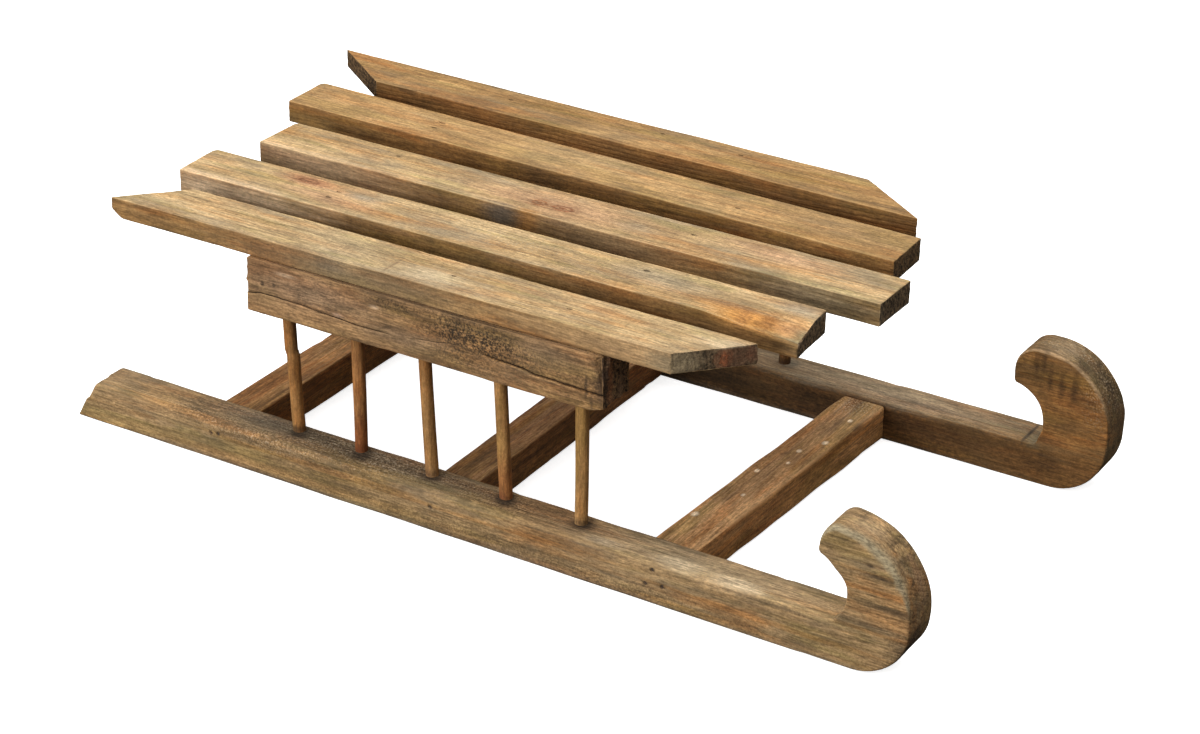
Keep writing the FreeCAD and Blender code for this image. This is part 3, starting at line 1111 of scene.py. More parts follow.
@dataclass
class Runner:
    """A runner: a straight beam with a bevelled rear end, and a hook that curls back on itself."""

    side: str
    hook: HookShape
    seed: float
    beam_height: float = 28.0
    rear_bevel: float = 15.5
    beam_share: float = 0.74
    top_wear: float = 1.0
    rim_wear: float = 1.0
    tint: Colour = (1.0, 1.0, 1.0)
    heart: tuple[float, float] = (-260.0, -40.0)
    marks: tuple[Mark, ...] = ()
    nails: tuple[Nail, ...] = ()
    rim: Colour = (1.0, 1.0, 1.0)
    finish: WoodFinish = RUNNER_WOOD
    saw_cut: float = 0.0

    def __post_init__(self) -> None:
        """Works out the runner's two outlines, under and over the wood."""
        self.node = f"runner_{self.side}"
        low, high = box_of(self.node)
        self.low, self.high = low, high
        self.anchor = Vector((low.x, (low.y + high.y) / 2.0, low.z))
        hook, diagonal = self.hook, math.sqrt(0.5)
        radius = (high.z - low.z) / 2.0
        centre = high.x - radius
        self.hook_middle = Vector((centre, low.z + radius))
        mouth_x, tip_x = centre - hook.mouth_back, centre - hook.tip_reach
        root_run = math.sqrt(hook.mouth_radius ** 2 - (hook.mouth_height - self.beam_height) ** 2)
        lip_z = low.z + hook.mouth_height + math.sqrt(hook.mouth_radius ** 2 - (tip_x - mouth_x) ** 2)
        sole_end = (high.x - hook.heel, low.z)
        heel_mid = (high.x - hook.heel * (1.0 - diagonal), low.z + hook.heel * (1.0 - diagonal))
        front, crown_foot = (high.x, low.z + hook.heel), (high.x, low.z + radius)
        crown_mid = (centre + radius * diagonal, low.z + radius * (1.0 + diagonal))
        crown, crown_end = (centre, high.z), (centre - hook.tip_reach / 4.0, high.z)
        shoulder = (centre - 0.8 * hook.tip_reach, high.z - 5.0)
        nose = (tip_x, lip_z + hook.lip)
        root = (mouth_x + root_run, low.z + self.beam_height)
        wall = (mouth_x + hook.mouth_radius, low.z + hook.mouth_height)
        self.under_beam = Line([Stretch((low.x, low.z), sole_end)])
        self.under_hook = Line([Stretch(sole_end, front, heel_mid), Stretch(front, crown_foot),
                                Stretch(crown_foot, crown, crown_mid), Stretch(crown, crown_end),
                                Stretch(crown_end, nose, shoulder)])
        self.over_beam = Line([Stretch((low.x + self.rear_bevel, root[1]), root)])
        self.over_hook = Line([Stretch(root, (tip_x, lip_z), wall)])

    def outlines(self, share: float) -> tuple[Vector, Vector]:
        """Returns the points under and over the wood at a share of the runner's length."""
        if share <= self.beam_share:
            part = share / self.beam_share
            return self.under_beam.at(part), self.over_beam.at(part)
        part = (share - self.beam_share) / (1.0 - self.beam_share)
        under, over = self.under_hook.at(part), self.over_hook.at(part)
        over.y -= self.hook.sag * math.sin(math.pi * ease(part, 0.45, 1.0) ** 1.3)
        outward = (under - self.hook_middle).normalized()
        loss = self.hook.crown_loss * math.sin(math.pi * clamp((part - 0.38) / 0.52, 0.0, 1.0))
        return under - outward * loss, over

    def depth(self, share: float) -> float:
        """Returns how thick the wood is at a share of the runner's length."""
        under, over = self.outlines(clamp(share, 0.0, 1.0))
        return (over - under).length

    def arris_gain(self, share: float, side: float, level: float) -> float:
        """Returns how much rounder an edge is worn than the rest of the runner."""
        outer = (side < 0.0) == (self.side == "right")
        if level > 0.0:
            worn = self.top_wear * (1.0 - ease(share, self.beam_share, self.beam_share + 0.03))
            return 1.0 + (worn if outer else 0.4 * worn)
        rim = ease(share, self.beam_share + 0.10, self.beam_share + 0.15)
        return 1.0 + self.rim_wear * rim * (1.0 if outer else 0.5)

    def lowered(self, share: float, normal: Vector) -> float:
        """Returns how far the top is cut down, ahead of a slip of the saw behind the hook."""
        if not self.saw_cut or normal.z < 0.6 or share > self.beam_share + 0.02:
            return 0.0
        ahead = self.over_beam.at(share / self.beam_share).x - self.low.x - self.saw_cut
        return 1.7 * ease(ahead, -1.6, 1.6)

    def rim_at(self, share: float, normal: Vector) -> float:
        """Returns 1 on the hook's outer rim."""
        return ease(share, self.beam_share + 0.02, self.beam_share + 0.07) * ease(-normal.z, 0.25, 0.8)

    def build(self) -> bpy.types.Object:
        """Makes the runner's mesh."""
        width = self.high.y - self.low.y
        lines = (self.under_beam, self.under_hook, self.over_beam, self.over_hook)
        length = 0.5 * sum(line.length for line in lines)

        def place(along: float, side: float, level: float) -> Vector:
            """Bends a point of the board into the runner's side view."""
            share = along / length + 0.5
            under, over = self.outlines(clamp(share, 0.0, 1.0))
            point = under.lerp(over, level / max(1e-6, (over - under).length) + 0.5)
            if share < 0.0:
                point.x += share * length
            return Vector((point.x, self.anchor.y + side, point.y))

        wear = Wear(arris=1.3, arris_play=0.5, chips=4.0, ripple=0.2, sway=0.45, dents=1.1)
        tip_cuts = tuple(
            Nick((1.0, 0.0, 1.0), ((-back, 0.0, 0.0), (-back, 5.0, 0.0), (0.0, 0.0, -down)), shows=False)
            for back, down in ((7.0, 2.4), (2.6, 6.0))
        )
        board = Board(self.node + "_wood", (length, width, self.beam_height), (230, 24, 26), wear, place,
                      self.seed, nicks=tip_cuts, depth_at=self.depth, arris_gain=self.arris_gain,
                      lowered=self.lowered, rim_at=self.rim_at)
        return board.build()

    def dress(self, piece: bpy.types.Object, steel: bpy.types.Material) -> None:
        """Gives the runner its finish and nails.

        Args:
            piece: the runner's object.
            steel: the nails' finish.
        """
        nailing = Nailing(self.nails, self.anchor)
        if self.nails:
            nailing.drive(piece, steel)
        material = WoodMaterial(self.node + "_finish", self.finish, Grain.FORWARD, self.seed, self.anchor,
                                heart=self.heart, slant=(40.0, 22.0), tint=self.tint, rim=self.rim,
                                marks=self.marks + nailing.stains_and_hole_shade())
        settle(piece, self.node, material.build())


# ---- Crossbars and battens -------------------------------------------------------------------


@dataclass
class CrossPiece:
    """A bar or batten that runs sideways; skew is how far its left end lies ahead of its right."""

    node: str
    slot: str
    finish: WoodFinish
    wear: Wear
    seed: float
    skew: float = 0.0
    marks: tuple[Mark, ...] = ()
    tint: Colour = (1.0, 1.0, 1.0)

    def build(self) -> bpy.types.Object:
        """Makes the bar's mesh."""
        low, high = box_of(self.node)
        middle = (low + high) / 2.0
        length = high.y - low.y
        width = high.x - low.x - abs(self.skew)

        def place(along: float, side: float, level: float) -> Vector:
            """Lays a point of the board across the sled."""
            return Vector((middle.x - side + self.skew * along / length, middle.y + along, middle.z + level))

        size = (length, width, high.z - low.z)
        return Board(self.node + "_wood", size, (100, 24, 20), self.wear, place, self.seed).build()

    def dress(self, piece: bpy.types.Object, steel: bpy.types.Material) -> None:
        """Gives the bar its finish.

        Args:
            piece: the bar's object.
            steel: the nails' finish, which a bar does not use.
        """
        low, high = box_of(self.node)
        anchor = Vector(((low.x + high.x) / 2.0, (low.y + high.y) / 2.0, low.z))
        material = WoodMaterial(self.node + "_finish", self.finish, Grain.SIDEWAYS, self.seed, anchor,
                                heart=(40.0 * self.seed, -60.0), slant=(10.0, 25.0), marks=self.marks,
                                tint=self.tint)
        settle(piece, self.node, material.build())


# ---- Rails -----------------------------------------------------------------------------------


@dataclass
class Rail:
    """A side rail, split along its outer face; split is the line that its cracks follow."""

    side: str
    seed: float
    split: Crack
    marks: tuple[Mark, ...] = ()
    nicks: tuple[Nick, ...] = ()
    cracks: tuple[Crack, ...] = ()
    tint: Colour = (1.0, 1.0, 1.0)

    def __post_init__(self) -> None:
        """Looks up the rail's box."""
        self.node = f"rail_{self.side}"
        low, high = box_of(self.node)
        self.size = high - low
        self.middle = (low + high) / 2.0
        self.anchor = Vector((low.x, self.middle.y, low.z))

    def build(self) -> bpy.types.Object:
        """Makes the rail's mesh."""

        def place(along: float, side: float, level: float) -> Vector:
            """Lays a point of the board along the sled."""
            return self.middle + Vector((along, side, level))

        wear = Wear(arris=1.3, chips=4.0, ripple=0.25, sway=0.4, edge_sway=0.4, dents=1.1, end_break=1.9)
        board = Board(self.node + "_wood", tuple(self.size), (150, 22, 40), wear, place, self.seed,
                      cracks=self.cracks, seam=self.split, nicks=self.nicks)
        return board.build()

    def dress(self, piece: bpy.types.Object, steel: bpy.types.Material) -> None:
        """Gives the rail its finish.

        Args:
            piece: the rail's object.
            steel: the nails' finish, which a rail does not use.
        """
        material = WoodMaterial(self.node + "_finish", RAIL_WOOD, Grain.FORWARD, self.seed, self.anchor,
                                heart=(90.0, 60.0), slant=(4.0, 18.0), tint=self.tint, marks=self.marks)
        settle(piece, self.node, material.build())


# ---- Slats -----------------------------------------------------------------------------------


@dataclass
class Slat:
    """A deck slat.

    drift is how far it wanders left to its front end, mitre how far its left edge lies ahead of its
    right edge, and swell how much wider it is than sawn.
    """

    number: int
    drift: float
    mitre: float
    seed: float
    tint: Colour = (1.0, 1.0, 1.0)
    heart: tuple[float, float] = (60.0, 110.0)
    marks: tuple[Mark, ...] = ()
    nicks: tuple[Nick, ...] = ()
    nails: tuple[Nail, ...] = ()
    arris: float = 0.8
    swell: float = 0.4

    def __post_init__(self) -> None:
        """Looks up the slat's box."""
        self.node = f"slat_{self.number}"
        low, high = box_of(self.node)
        self.middle = (low + high) / 2.0
        length, width = high.x - low.x - abs(self.mitre), high.y - low.y - abs(self.drift) + self.swell
        self.size = (length, width, high.z - low.z)
        self.anchor = Vector((self.middle.x - self.size[0] / 2.0, self.middle.y, high.z))

    def build(self) -> bpy.types.Object:
        """Makes the slat's mesh."""
        length, width, _ = self.size

        def place(along: float, side: float, level: float) -> Vector:
            """Lays a point of the board along the deck."""
            ahead, left = self.mitre * side / width, self.drift * along / length
            return self.middle + Vector((along + ahead, side + left, level))

        wear = Wear(arris=self.arris, chips=2.6, ripple=0.18, sway=0.35, edge_sway=0.55, dents=0.7,
                    end_break=0.5)
        board = Board(self.node + "_wood", self.size, (160, 48, 14), wear, place, self.seed, nicks=self.nicks)
        return board.build()

    def dress(self, piece: bpy.types.Object, steel: bpy.types.Material) -> None:
        """Gives the slat its finish and nails.

        Args:
            piece: the slat's object.
            steel: the nails' finish.
        """
        nailing = Nailing(self.nails, self.anchor)
        if self.nails:
            nailing.drive(piece, steel)
        material = WoodMaterial(self.node + "_finish", SLAT_WOOD, Grain.FORWARD, self.seed, self.anchor,
                                heart=self.heart, slant=(12.0, 20.0), tint=self.tint,
                                marks=self.marks + nailing.stains_and_hole_shade())
        settle(piece, self.node, material.build())


# ---- Dowels ----------------------------------------------------------------------------------


@dataclass
class Dowel:
    """A dowel between runner and rail, a little out of round, of straight and of plumb.

    leans is which way its head lies from its foot, ahead and to the left, and step how far the
    stump above a break, at a share of its height, has slipped back.
    """

    side: str
    number: int
    tint: Colour = (1.0, 1.0, 1.0)
    leans: tuple[float, float] = (0.0, 0.0)
    step: float = 0.0
    step_at: float = 0.6
    foot_red: float = 0.0
    radius: float = 4.25
    segments: int = 28
    rings: int = 60

    def __post_init__(self) -> None:
        """Looks up the dowel's node."""
        self.node = f"dowel_{self.side}_{self.number}"
        self.seed = (20.0 if self.side == "right" else 40.0) + self.number * 3.7

    def build(self) -> bpy.types.Object:
        """Makes the dowel's mesh."""
        low, high = box_of(self.node)
        middle = (low + high) / 2.0
        height = high.z - low.z
        spare = (high.x - low.x - 2.0 * self.radius, high.y - low.y - 2.0 * self.radius)
        run = Vector((spare[0] * self.leans[0], spare[1] * self.leans[1]))
        bm = bmesh.new()
        bmesh.ops.create_cone(bm, cap_ends=True, segments=self.segments, radius1=self.radius,
                              radius2=self.radius, depth=height)
        upright = [edge for edge in bm.edges if abs(edge.verts[0].co.z - edge.verts[1].co.z) > 1.0]
        bmesh.ops.subdivide_edges(bm, edges=upright, cuts=self.rings - 1, use_grid_fill=True)
        for vert in bm.verts:
            angle = math.atan2(vert.co.y, vert.co.x)
            share = vert.co.z / height
            flat = rough(math.cos(angle) * 1.3, math.sin(angle) * 1.3, self.seed + vert.co.z * 0.012)
            grain = rough(math.cos(angle) * 5.0, math.sin(angle) * 5.0, self.seed + vert.co.z * 0.03)
            scale = 0.99 + 0.06 * flat + 0.02 * grain
            bow = 0.5 * math.sin(math.pi * (share + 0.5)) * math.sin(self.seed)
            bow -= self.step * ease(share + 0.5, self.step_at - 0.006, self.step_at + 0.006)
            vert.co = (middle + Vector((vert.co.x * scale + bow + run.x * share,
                                        vert.co.y * scale + run.y * share, vert.co.z))) * MM
        for face in bm.faces:
            face.smooth = len(face.verts) == 4
        return as_object(bm, self.node + "_wood")

    def dress(self, piece: bpy.types.Object, steel: bpy.types.Material) -> None:
        """Gives the dowel its finish.

        Args:
            piece: the dowel's object.
            steel: the nails' finish, which a dowel does not use.
        """
        low, high = box_of(self.node)
        anchor = Vector(((low.x + high.x) / 2.0, (low.y + high.y) / 2.0, low.z))
        # A dark band low on the dowel: painted shade at its foot, where it goes into the runner, with some
        # dirt.
        marks = (Mark((0.0, 0.0, 16.0), (9.0, 9.0, 4.0), DIRT_AND_SHADE, 0.75, hardness=0.1),)
        if self.foot_red:
            marks += (Mark((0.0, 0.0, 24.0), (9.0, 9.0, 22.0), FOOT_RED, self.foot_red, hardness=0.3),)
        material = WoodMaterial(self.node + "_finish", DOWEL_WOOD, Grain.UPRIGHT, self.seed, anchor,
                                heart=(30.0 * self.number, 40.0), slant=(20.0, 30.0), tint=self.tint,
                                marks=marks)
        settle(piece, self.node, material.build())


# ---- Studio ----------------------------------------------------------------------------------


@dataclass(frozen=True)
class Softbox:
    """A square soft light that faces the sled; at is in metres and power in watts."""

    name: str
    at: tuple[float, float, float]
    size: float
    power: float

    def hang(self) -> None:
        """Hangs the light."""
        light = bpy.data.lights.new(self.name, "AREA")
        light.size = self.size
        light.energy = self.power
        lamp = bpy.data.objects.new(self.name, light)
        lamp.location = self.at
        lamp.rotation_mode = "QUATERNION"
        lamp.rotation_quaternion = (Vector((0.0, 0.0, 0.1)) - Vector(self.at)).to_track_quat("-Z", "Y")
        bpy.context.scene.collection.objects.link(lamp)


@dataclass
class Studio:
    """The pale floor, the soft lights and the camera.

    azimuth, elevation and roll turn the camera, in degrees; distance, aim_right and aim_drop place
    it from the sled's middle, in metres. sky is the height from which the sky grows brighter, the
    height where it stops, and its strength at each.
    """

    azimuth: float = 30.74
    elevation: float = 26.23
    roll: float = 1.4
    distance: float = 1.8558
    aim_right: float = 0.0015
    aim_drop: float = 0.0234
    lens: float = 85.15
    sky: tuple[float, float, float, float] = (0.1, 0.95, 0.06, 1.25)
    backdrop: float = 1.15
    floor_glow: float = 0.75
    softboxes: tuple[Softbox, ...] = (
        Softbox("softbox_top", (-0.5, -0.1, 1.9), 1.2, 17.0),
        Softbox("softbox_side", (-0.7, -2.1, 0.55), 1.0, 32.0),
    )

    def lay_floor(self) -> None:
        """Lays the plain pale floor, which glows a little and throws no light on the sled."""
        bm = bmesh.new()
        bmesh.ops.create_grid(bm, x_segments=1, y_segments=1, size=6.0)
        floor = as_object(bm, "floor")
        floor.visible_diffuse = False
        floor.visible_glossy = False
        bench = Bench("floor_finish")
        floor.data.materials.append(bench.finished({
            "Base Color": (0.9, 0.9, 0.9, 1.0), "Roughness": 0.9, "Specular IOR Level": 0.0,
            "Emission Color": (1.0, 1.0, 1.0, 1.0), "Emission Strength": self.floor_glow,
        }))

    def light(self) -> None:
        """Hangs the soft lights and sets the sky, which the camera sees as a plain pale backdrop."""
        world = bpy.data.worlds.new("studio")
        bpy.context.scene.world = world
        world.use_nodes = True
        tree = world.node_tree
        tree.nodes.clear()
        coordinates = tree.nodes.new("ShaderNodeTexCoord")
        parts = tree.nodes.new("ShaderNodeSeparateXYZ")
        tree.links.new(coordinates.outputs["Generated"], parts.inputs[0])
        fade = tree.nodes.new("ShaderNodeMapRange")
        fade.interpolation_type = "SMOOTHSTEP"
        for socket, value in zip(fade.inputs[1:5], self.sky):
            socket.default_value = value
        tree.links.new(parts.outputs[2], fade.inputs[0])
        seen = tree.nodes.new("ShaderNodeLightPath")
        strength = tree.nodes.new("ShaderNodeMix")
        strength.inputs[3].default_value = self.backdrop
        tree.links.new(seen.outputs["Is Camera Ray"], strength.inputs[0])
        tree.links.new(fade.outputs[0], strength.inputs[2])
        background = tree.nodes.new("ShaderNodeBackground")
        background.inputs[0].default_value = (1.0, 0.985, 0.96, 1.0)
        tree.links.new(strength.outputs[0], background.inputs[1])
        output = tree.nodes.new("ShaderNodeOutputWorld")
        tree.links.new(background.outputs[0], output.inputs[0])
        for softbox in self.softboxes:
            softbox.hang()

    def place_camera(self) -> None:
        """Places the camera from the sled's box and the viewing angle."""
        low, high = (Vector(corner) for corner in CAD_BOX)
        azimuth, elevation = math.radians(self.azimuth), math.radians(self.elevation)
        level = math.cos(elevation)
        back = Vector((math.sin(azimuth) * level, -math.cos(azimuth) * level, math.sin(elevation)))
        turn = Quaternion(back, math.radians(self.roll)) @ back.to_track_quat("Z", "Y")
        right, up = turn @ Vector((1.0, 0.0, 0.0)), turn @ Vector((0.0, 1.0, 0.0))
        camera = bpy.data.objects.new("camera", bpy.data.cameras.new("camera"))
        camera.data.lens = self.lens
        camera.data.sensor_width = 36.0
        aim = (low + high) / 2.0 + right * self.aim_right - up * self.aim_drop
        camera.location = aim + back * self.distance
        camera.rotation_mode = "QUATERNION"
        camera.rotation_quaternion = turn
        bpy.context.scene.collection.objects.link(camera)
        bpy.context.scene.camera = camera

    def build(self) -> None:
        """Sets up the whole studio."""
        self.lay_floor()
        self.light()
        self.place_camera()
        bpy.context.scene.view_settings.view_transform = "Standard"


# ---- The sled --------------------------------------------------------------------------------

DOWELS_AT = (172.0, 222.0, 275.9, 331.1, 387.6)
SOLE_GRIME = (Mark((300.0, -15.0, -1.0), (320.0, 6.0, 4.5), GRIME_AND_SHADE, 0.75, hardness=0.2),)
# Dark patches round the dowel sockets on the runners' tops: painted shade where the dowels go in, with some
# dirt.
SOCKET_SHADE_AND_DIRT = tuple(Mark((x + 1.5, 1.5, 28.0), (9.0, 8.0, 4.0), DIRT_AND_SHADE, 0.92, hardness=0.4) for x in DOWELS_AT)
BEAM_MARKS = (
    # The first two darken the right runner's top under the deck: painted shadow of the deck.
    Mark((225.0, 5.0, 29.0), (115.0, 14.0, 6.0), GRIME_AND_SHADE, 0.5, hardness=0.1),
    Mark((150.0, 4.0, 29.0), (50.0, 13.0, 5.0), (0.15, 0.125, 0.09), 0.6),
    Mark((225.0, 2.0, 29.0), (125.0, 17.0, 10.0), DIRT_AND_SHADE, 0.75, hardness=0.1, speckle=1),
    Mark((225.0, 2.0, 29.0), (125.0, 18.0, 11.0), (0.47, 0.40, 0.30), 0.5, hardness=0.1, speckle=-1),
    Mark((150.0, -15.0, 26.0), (60.0, 6.0, 7.0), (0.44, 0.37, 0.27), 0.4, speckle=-1),
    Mark((150.0, -14.0, 26.0), (70.0, 8.0, 8.0), DIRT_AND_SHADE, 0.5, speckle=1),
    Mark((180.0, -15.0, 6.0), (150.0, 6.0, 3.0), (0.46, 0.25, 0.095), 0.5),
    Mark((60.0, -15.0, 23.0), (70.0, 6.0, 3.0), (0.50, 0.31, 0.15), 0.35),
    Mark((340.0, 3.0, 29.0), (60.0, 14.0, 7.0), DIRT_AND_SHADE, 0.45, speckle=1),
    Mark((350.0, -15.0, 6.0), (220.0, 6.0, 8.0), DIRT_AND_SHADE, 0.4, speckle=1),
    Mark((470.0, 0.0, 30.0), (90.0, 17.0, 7.0), (0.50, 0.38, 0.235), 0.55, hardness=0.05),
    Mark((462.0, -6.0, 28.0), (15.0, 7.0, 4.0), (0.68, 0.53, 0.34), 0.75, hardness=0.1),
    Mark((503.0, -8.0, 28.0), (16.0, 6.0, 4.0), (0.68, 0.53, 0.34), 0.75, hardness=0.1),
    Mark((410.0, -9.0, 28.0), (14.0, 4.0, 3.0), (0.60, 0.47, 0.31), 0.6, hardness=0.1),
    Mark((534.0, -13.0, 25.5), (34.0, 5.0, 1.3), DIRT_AND_SHADE, 0.65, hardness=0.2),
)
RIGHT_HOOK_MARKS = (
    Mark((596.0, -15.0, 66.0), (12.0, 6.0, 1.6), DIRT_AND_SHADE, 0.75, hardness=0.2),
    Mark((590.0, -15.0, 72.0), (4.0, 6.0, 1.8), DIRT_AND_SHADE, 0.75, hardness=0.3),
    Mark((604.0, -15.0, 47.0), (17.0, 6.0, 2.2), DIRT_AND_SHADE, 0.65, hardness=0.1),
    Mark((594.0, -15.0, 33.0), (22.0, 6.0, 2.0), DIRT_AND_SHADE, 0.6, hardness=0.1),
    Mark((615.0, -6.0, 20.0), (12.0, 14.0, 15.0), DIRT_AND_SHADE, 0.95, hardness=0.15),
    Mark((614.0, 4.0, 66.0), (16.0, 5.0, 22.0), (0.46, 0.26, 0.14), 0.5),
    Mark((588.0, -2.0, 91.0), (18.0, 9.0, 7.0), (0.60, 0.42, 0.24), 0.6),
)
INNER_STREAKS = tuple(
    Mark((x, -15.0, z), (2.4, 6.0, 11.0), (0.06, 0.03, 0.012), 0.7)
    for x, z in ((574.0, 82.0), (584.0, 77.0), (592.0, 74.0), (601.0, 72.0), (579.0, 88.0))
)
LEFT_HOOK_MARKS = (
    Mark((576.0, -4.0, 27.0), (8.0, 18.0, 3.0), (0.20, 0.17, 0.10), 0.8, hardness=0.2),
    Mark((568.5, 0.0, 27.0), (1.5, 18.0, 3.0), DIRT_AND_SHADE, 0.95, hardness=0.5),
    Mark((561.0, 4.0, 84.0), (5.0, 18.0, 9.0), DIRT_AND_SHADE, 0.8, hardness=0.1),
    Mark((598.0, 3.0, 93.0), (34.0, 15.0, 12.0), (0.52, 0.42, 0.29), 0.75, speckle=-1),
    Mark((590.0, 0.0, 94.0), (18.0, 15.0, 5.0), (0.44, 0.33, 0.21), 0.5),
    Mark((616.0, 2.0, 76.0), (16.0, 18.0, 22.0), DIRT_AND_SHADE, 0.85, speckle=1),
    Mark((618.0, 0.0, 70.0), (14.0, 18.0, 26.0), (0.50, 0.40, 0.28), 0.6, speckle=-1),
    Mark((626.0, 6.0, 60.0), (8.0, 14.0, 30.0), DIRT_AND_SHADE, 0.35),
    # These two darken the left runner's inner face under the deck: painted shade.
    Mark((470.0, -15.0, 14.0), (160.0, 6.0, 16.0), (0.10, 0.052, 0.02), 0.75),
    Mark((300.0, -15.0, 14.0), (160.0, 6.0, 22.0), (0.05, 0.028, 0.012), 0.95, hardness=0.1),
    Mark((440.0, 2.0, 29.0), (150.0, 22.0, 5.0), (0.47, 0.40, 0.29), 0.55),
    Mark((500.0, -4.0, 29.0), (60.0, 3.0, 3.0), (0.14, 0.11, 0.08), 0.5),
)
BEAM_NAILS = tuple(
    Nail((x, -15.0, z), Face.RIGHT, turn, (2.2, 1.2), 0.6)
    for x, z, turn in ((119.9, 19.7, 10.0), (114.0, 19.0, 80.0), (287.2, 16.8, 70.0), (448.0, 23.3, 20.0),
                       (443.5, 12.8, 60.0), (455.2, 13.9, 0.0))
)
PAINT_SPECKS = tuple(
    Mark((ahead, left, 24.5), (size, 1.4 * size, 2.5), PAINT_PALE, 0.95, hardness=0.5)
    for ahead, left, size in ((10.2, 86.7, 1.9), (10.7, 49.7, 2.3), (1.8, 30.4, 1.9), (3.6, 11.9, 1.4),
                              (-7.9, -8.6, 1.7), (0.0, -41.4, 1.6), (-13.1, -79.3, 2.3))
)
FRONT_BAR_MARKS = (
    Mark((14.0, 66.0, 12.0), (3.0, 5.0, 3.0), (0.40, 0.06, 0.03), 0.7, hardness=0.2),
    Mark((2.0, 106.0, 25.0), (16.0, 16.0, 5.0), (0.60, 0.50, 0.34), 0.85, speckle=-1),
    Mark((2.0, 112.0, 25.0), (18.0, 9.0, 6.0), DIRT_AND_SHADE, 0.7, speckle=1),
    Mark((-4.0, 20.0, 25.0), (12.0, 90.0, 3.0), (0.16, 0.09, 0.05), 0.3),
)
RAIL_SPLIT = (
    (0.0, -6.0), (0.044, -4.3), (0.15, -4.4), (0.222, -5.9), (0.344, -7.3), (0.433, -6.7), (0.527, -3.4),
    (0.589, -0.6), (0.650, -0.6), (0.723, -3.0), (0.772, -3.5), (0.826, -5.4), (0.921, -5.9), (1.0, -6.4),
)
RAIL_MARKS = (
    Mark((30.0, -15.0, 22.0), (60.0, 6.0, 18.0), (0.25, 0.155, 0.10), 0.5),
    Mark((172.0, -15.0, 27.0), (38.0, 8.0, 15.0), DIRT_AND_SHADE, 0.9, speckle=1),
    Mark((158.0, -15.0, 30.0), (8.0, 8.0, 9.0), DIRT_AND_SHADE, 0.5),
    Mark((196.0, -15.0, 24.0), (60.0, 8.0, 15.0), DIRT_AND_SHADE, 0.6, speckle=1),
    Mark((112.0, -15.0, 32.0), (22.0, 8.0, 6.0), DIRT_AND_SHADE, 0.75, speckle=1),
    Mark((172.0, -15.0, 20.0), (60.0, 8.0, 16.0), (0.46, 0.23, 0.09), 0.6, speckle=-1),
    Mark((158.0, -15.0, 9.0), (34.0, 8.0, 6.0), DIRT_AND_SHADE, 0.6, speckle=1),
    # A dark line along the rail's top edge under slat 1: painted shadow in the joint.
    Mark((135.0, -15.0, 37.5), (150.0, 8.0, 2.2), DIRT_AND_SHADE, 0.8, hardness=0.3),
    Mark((60.0, -15.0, 6.0), (80.0, 4.0, 7.0), (0.52, 0.31, 0.14), 0.5),
    Mark((30.0, -15.0, 31.0), (9.0, 4.0, 1.8), (0.66, 0.45, 0.28), 0.75, hardness=0.1),
    Mark((98.0, -15.0, 27.0), (4.0, 4.0, 1.6), (0.66, 0.45, 0.28), 0.75, hardness=0.1),
    Mark((70.0, -15.0, 14.0), (4.0, 4.0, 1.6), (0.62, 0.40, 0.27), 0.6, hardness=0.1),
    Mark((12.0, -15.0, 21.0), (1.6, 4.0, 2.4), DIRT_AND_SHADE, 0.8, hardness=0.3),
    Mark((21.0, -15.0, 22.0), (1.4, 4.0, 1.8), DIRT_AND_SHADE, 0.8, hardness=0.3),
    Mark((254.0, -15.0, 14.0), (10.0, 6.0, 24.0), (0.50, 0.28, 0.13), 0.6, speckle=-1),
    Mark((262.0, -13.0, 22.0), (6.5, 7.0, 17.0), (0.055, 0.03, 0.018), 0.85, hardness=0.2),
    Mark((251.0, -15.0, 16.0), (1.3, 6.0, 9.0), DIRT_AND_SHADE, 0.7, hardness=0.2),
    Mark((255.0, -15.0, 6.0), (1.3, 6.0, 7.0), DIRT_AND_SHADE, 0.6, hardness=0.2),
    Mark((263.0, -6.0, 18.0), (5.0, 3.0, 20.0), (0.44, 0.19, 0.085), 0.7),
    Mark((263.0, 6.0, 14.0), (5.0, 3.0, 20.0), (0.36, 0.22, 0.13), 0.7),
    Mark((66.0, -15.0, 24.0), (45.0, 6.0, 9.0), (0.30, 0.22, 0.14), 0.35),
    Mark((120.0, -15.0, 12.0), (35.0, 6.0, 8.0), (0.31, 0.23, 0.16), 0.35),
    Mark((225.0, -15.0, 30.0), (26.0, 6.0, 9.0), (0.38, 0.25, 0.14), 0.45),
    Mark((210.0, -15.0, 7.0), (40.0, 6.0, 7.0), (0.42, 0.20, 0.09), 0.5, speckle=-1),
)
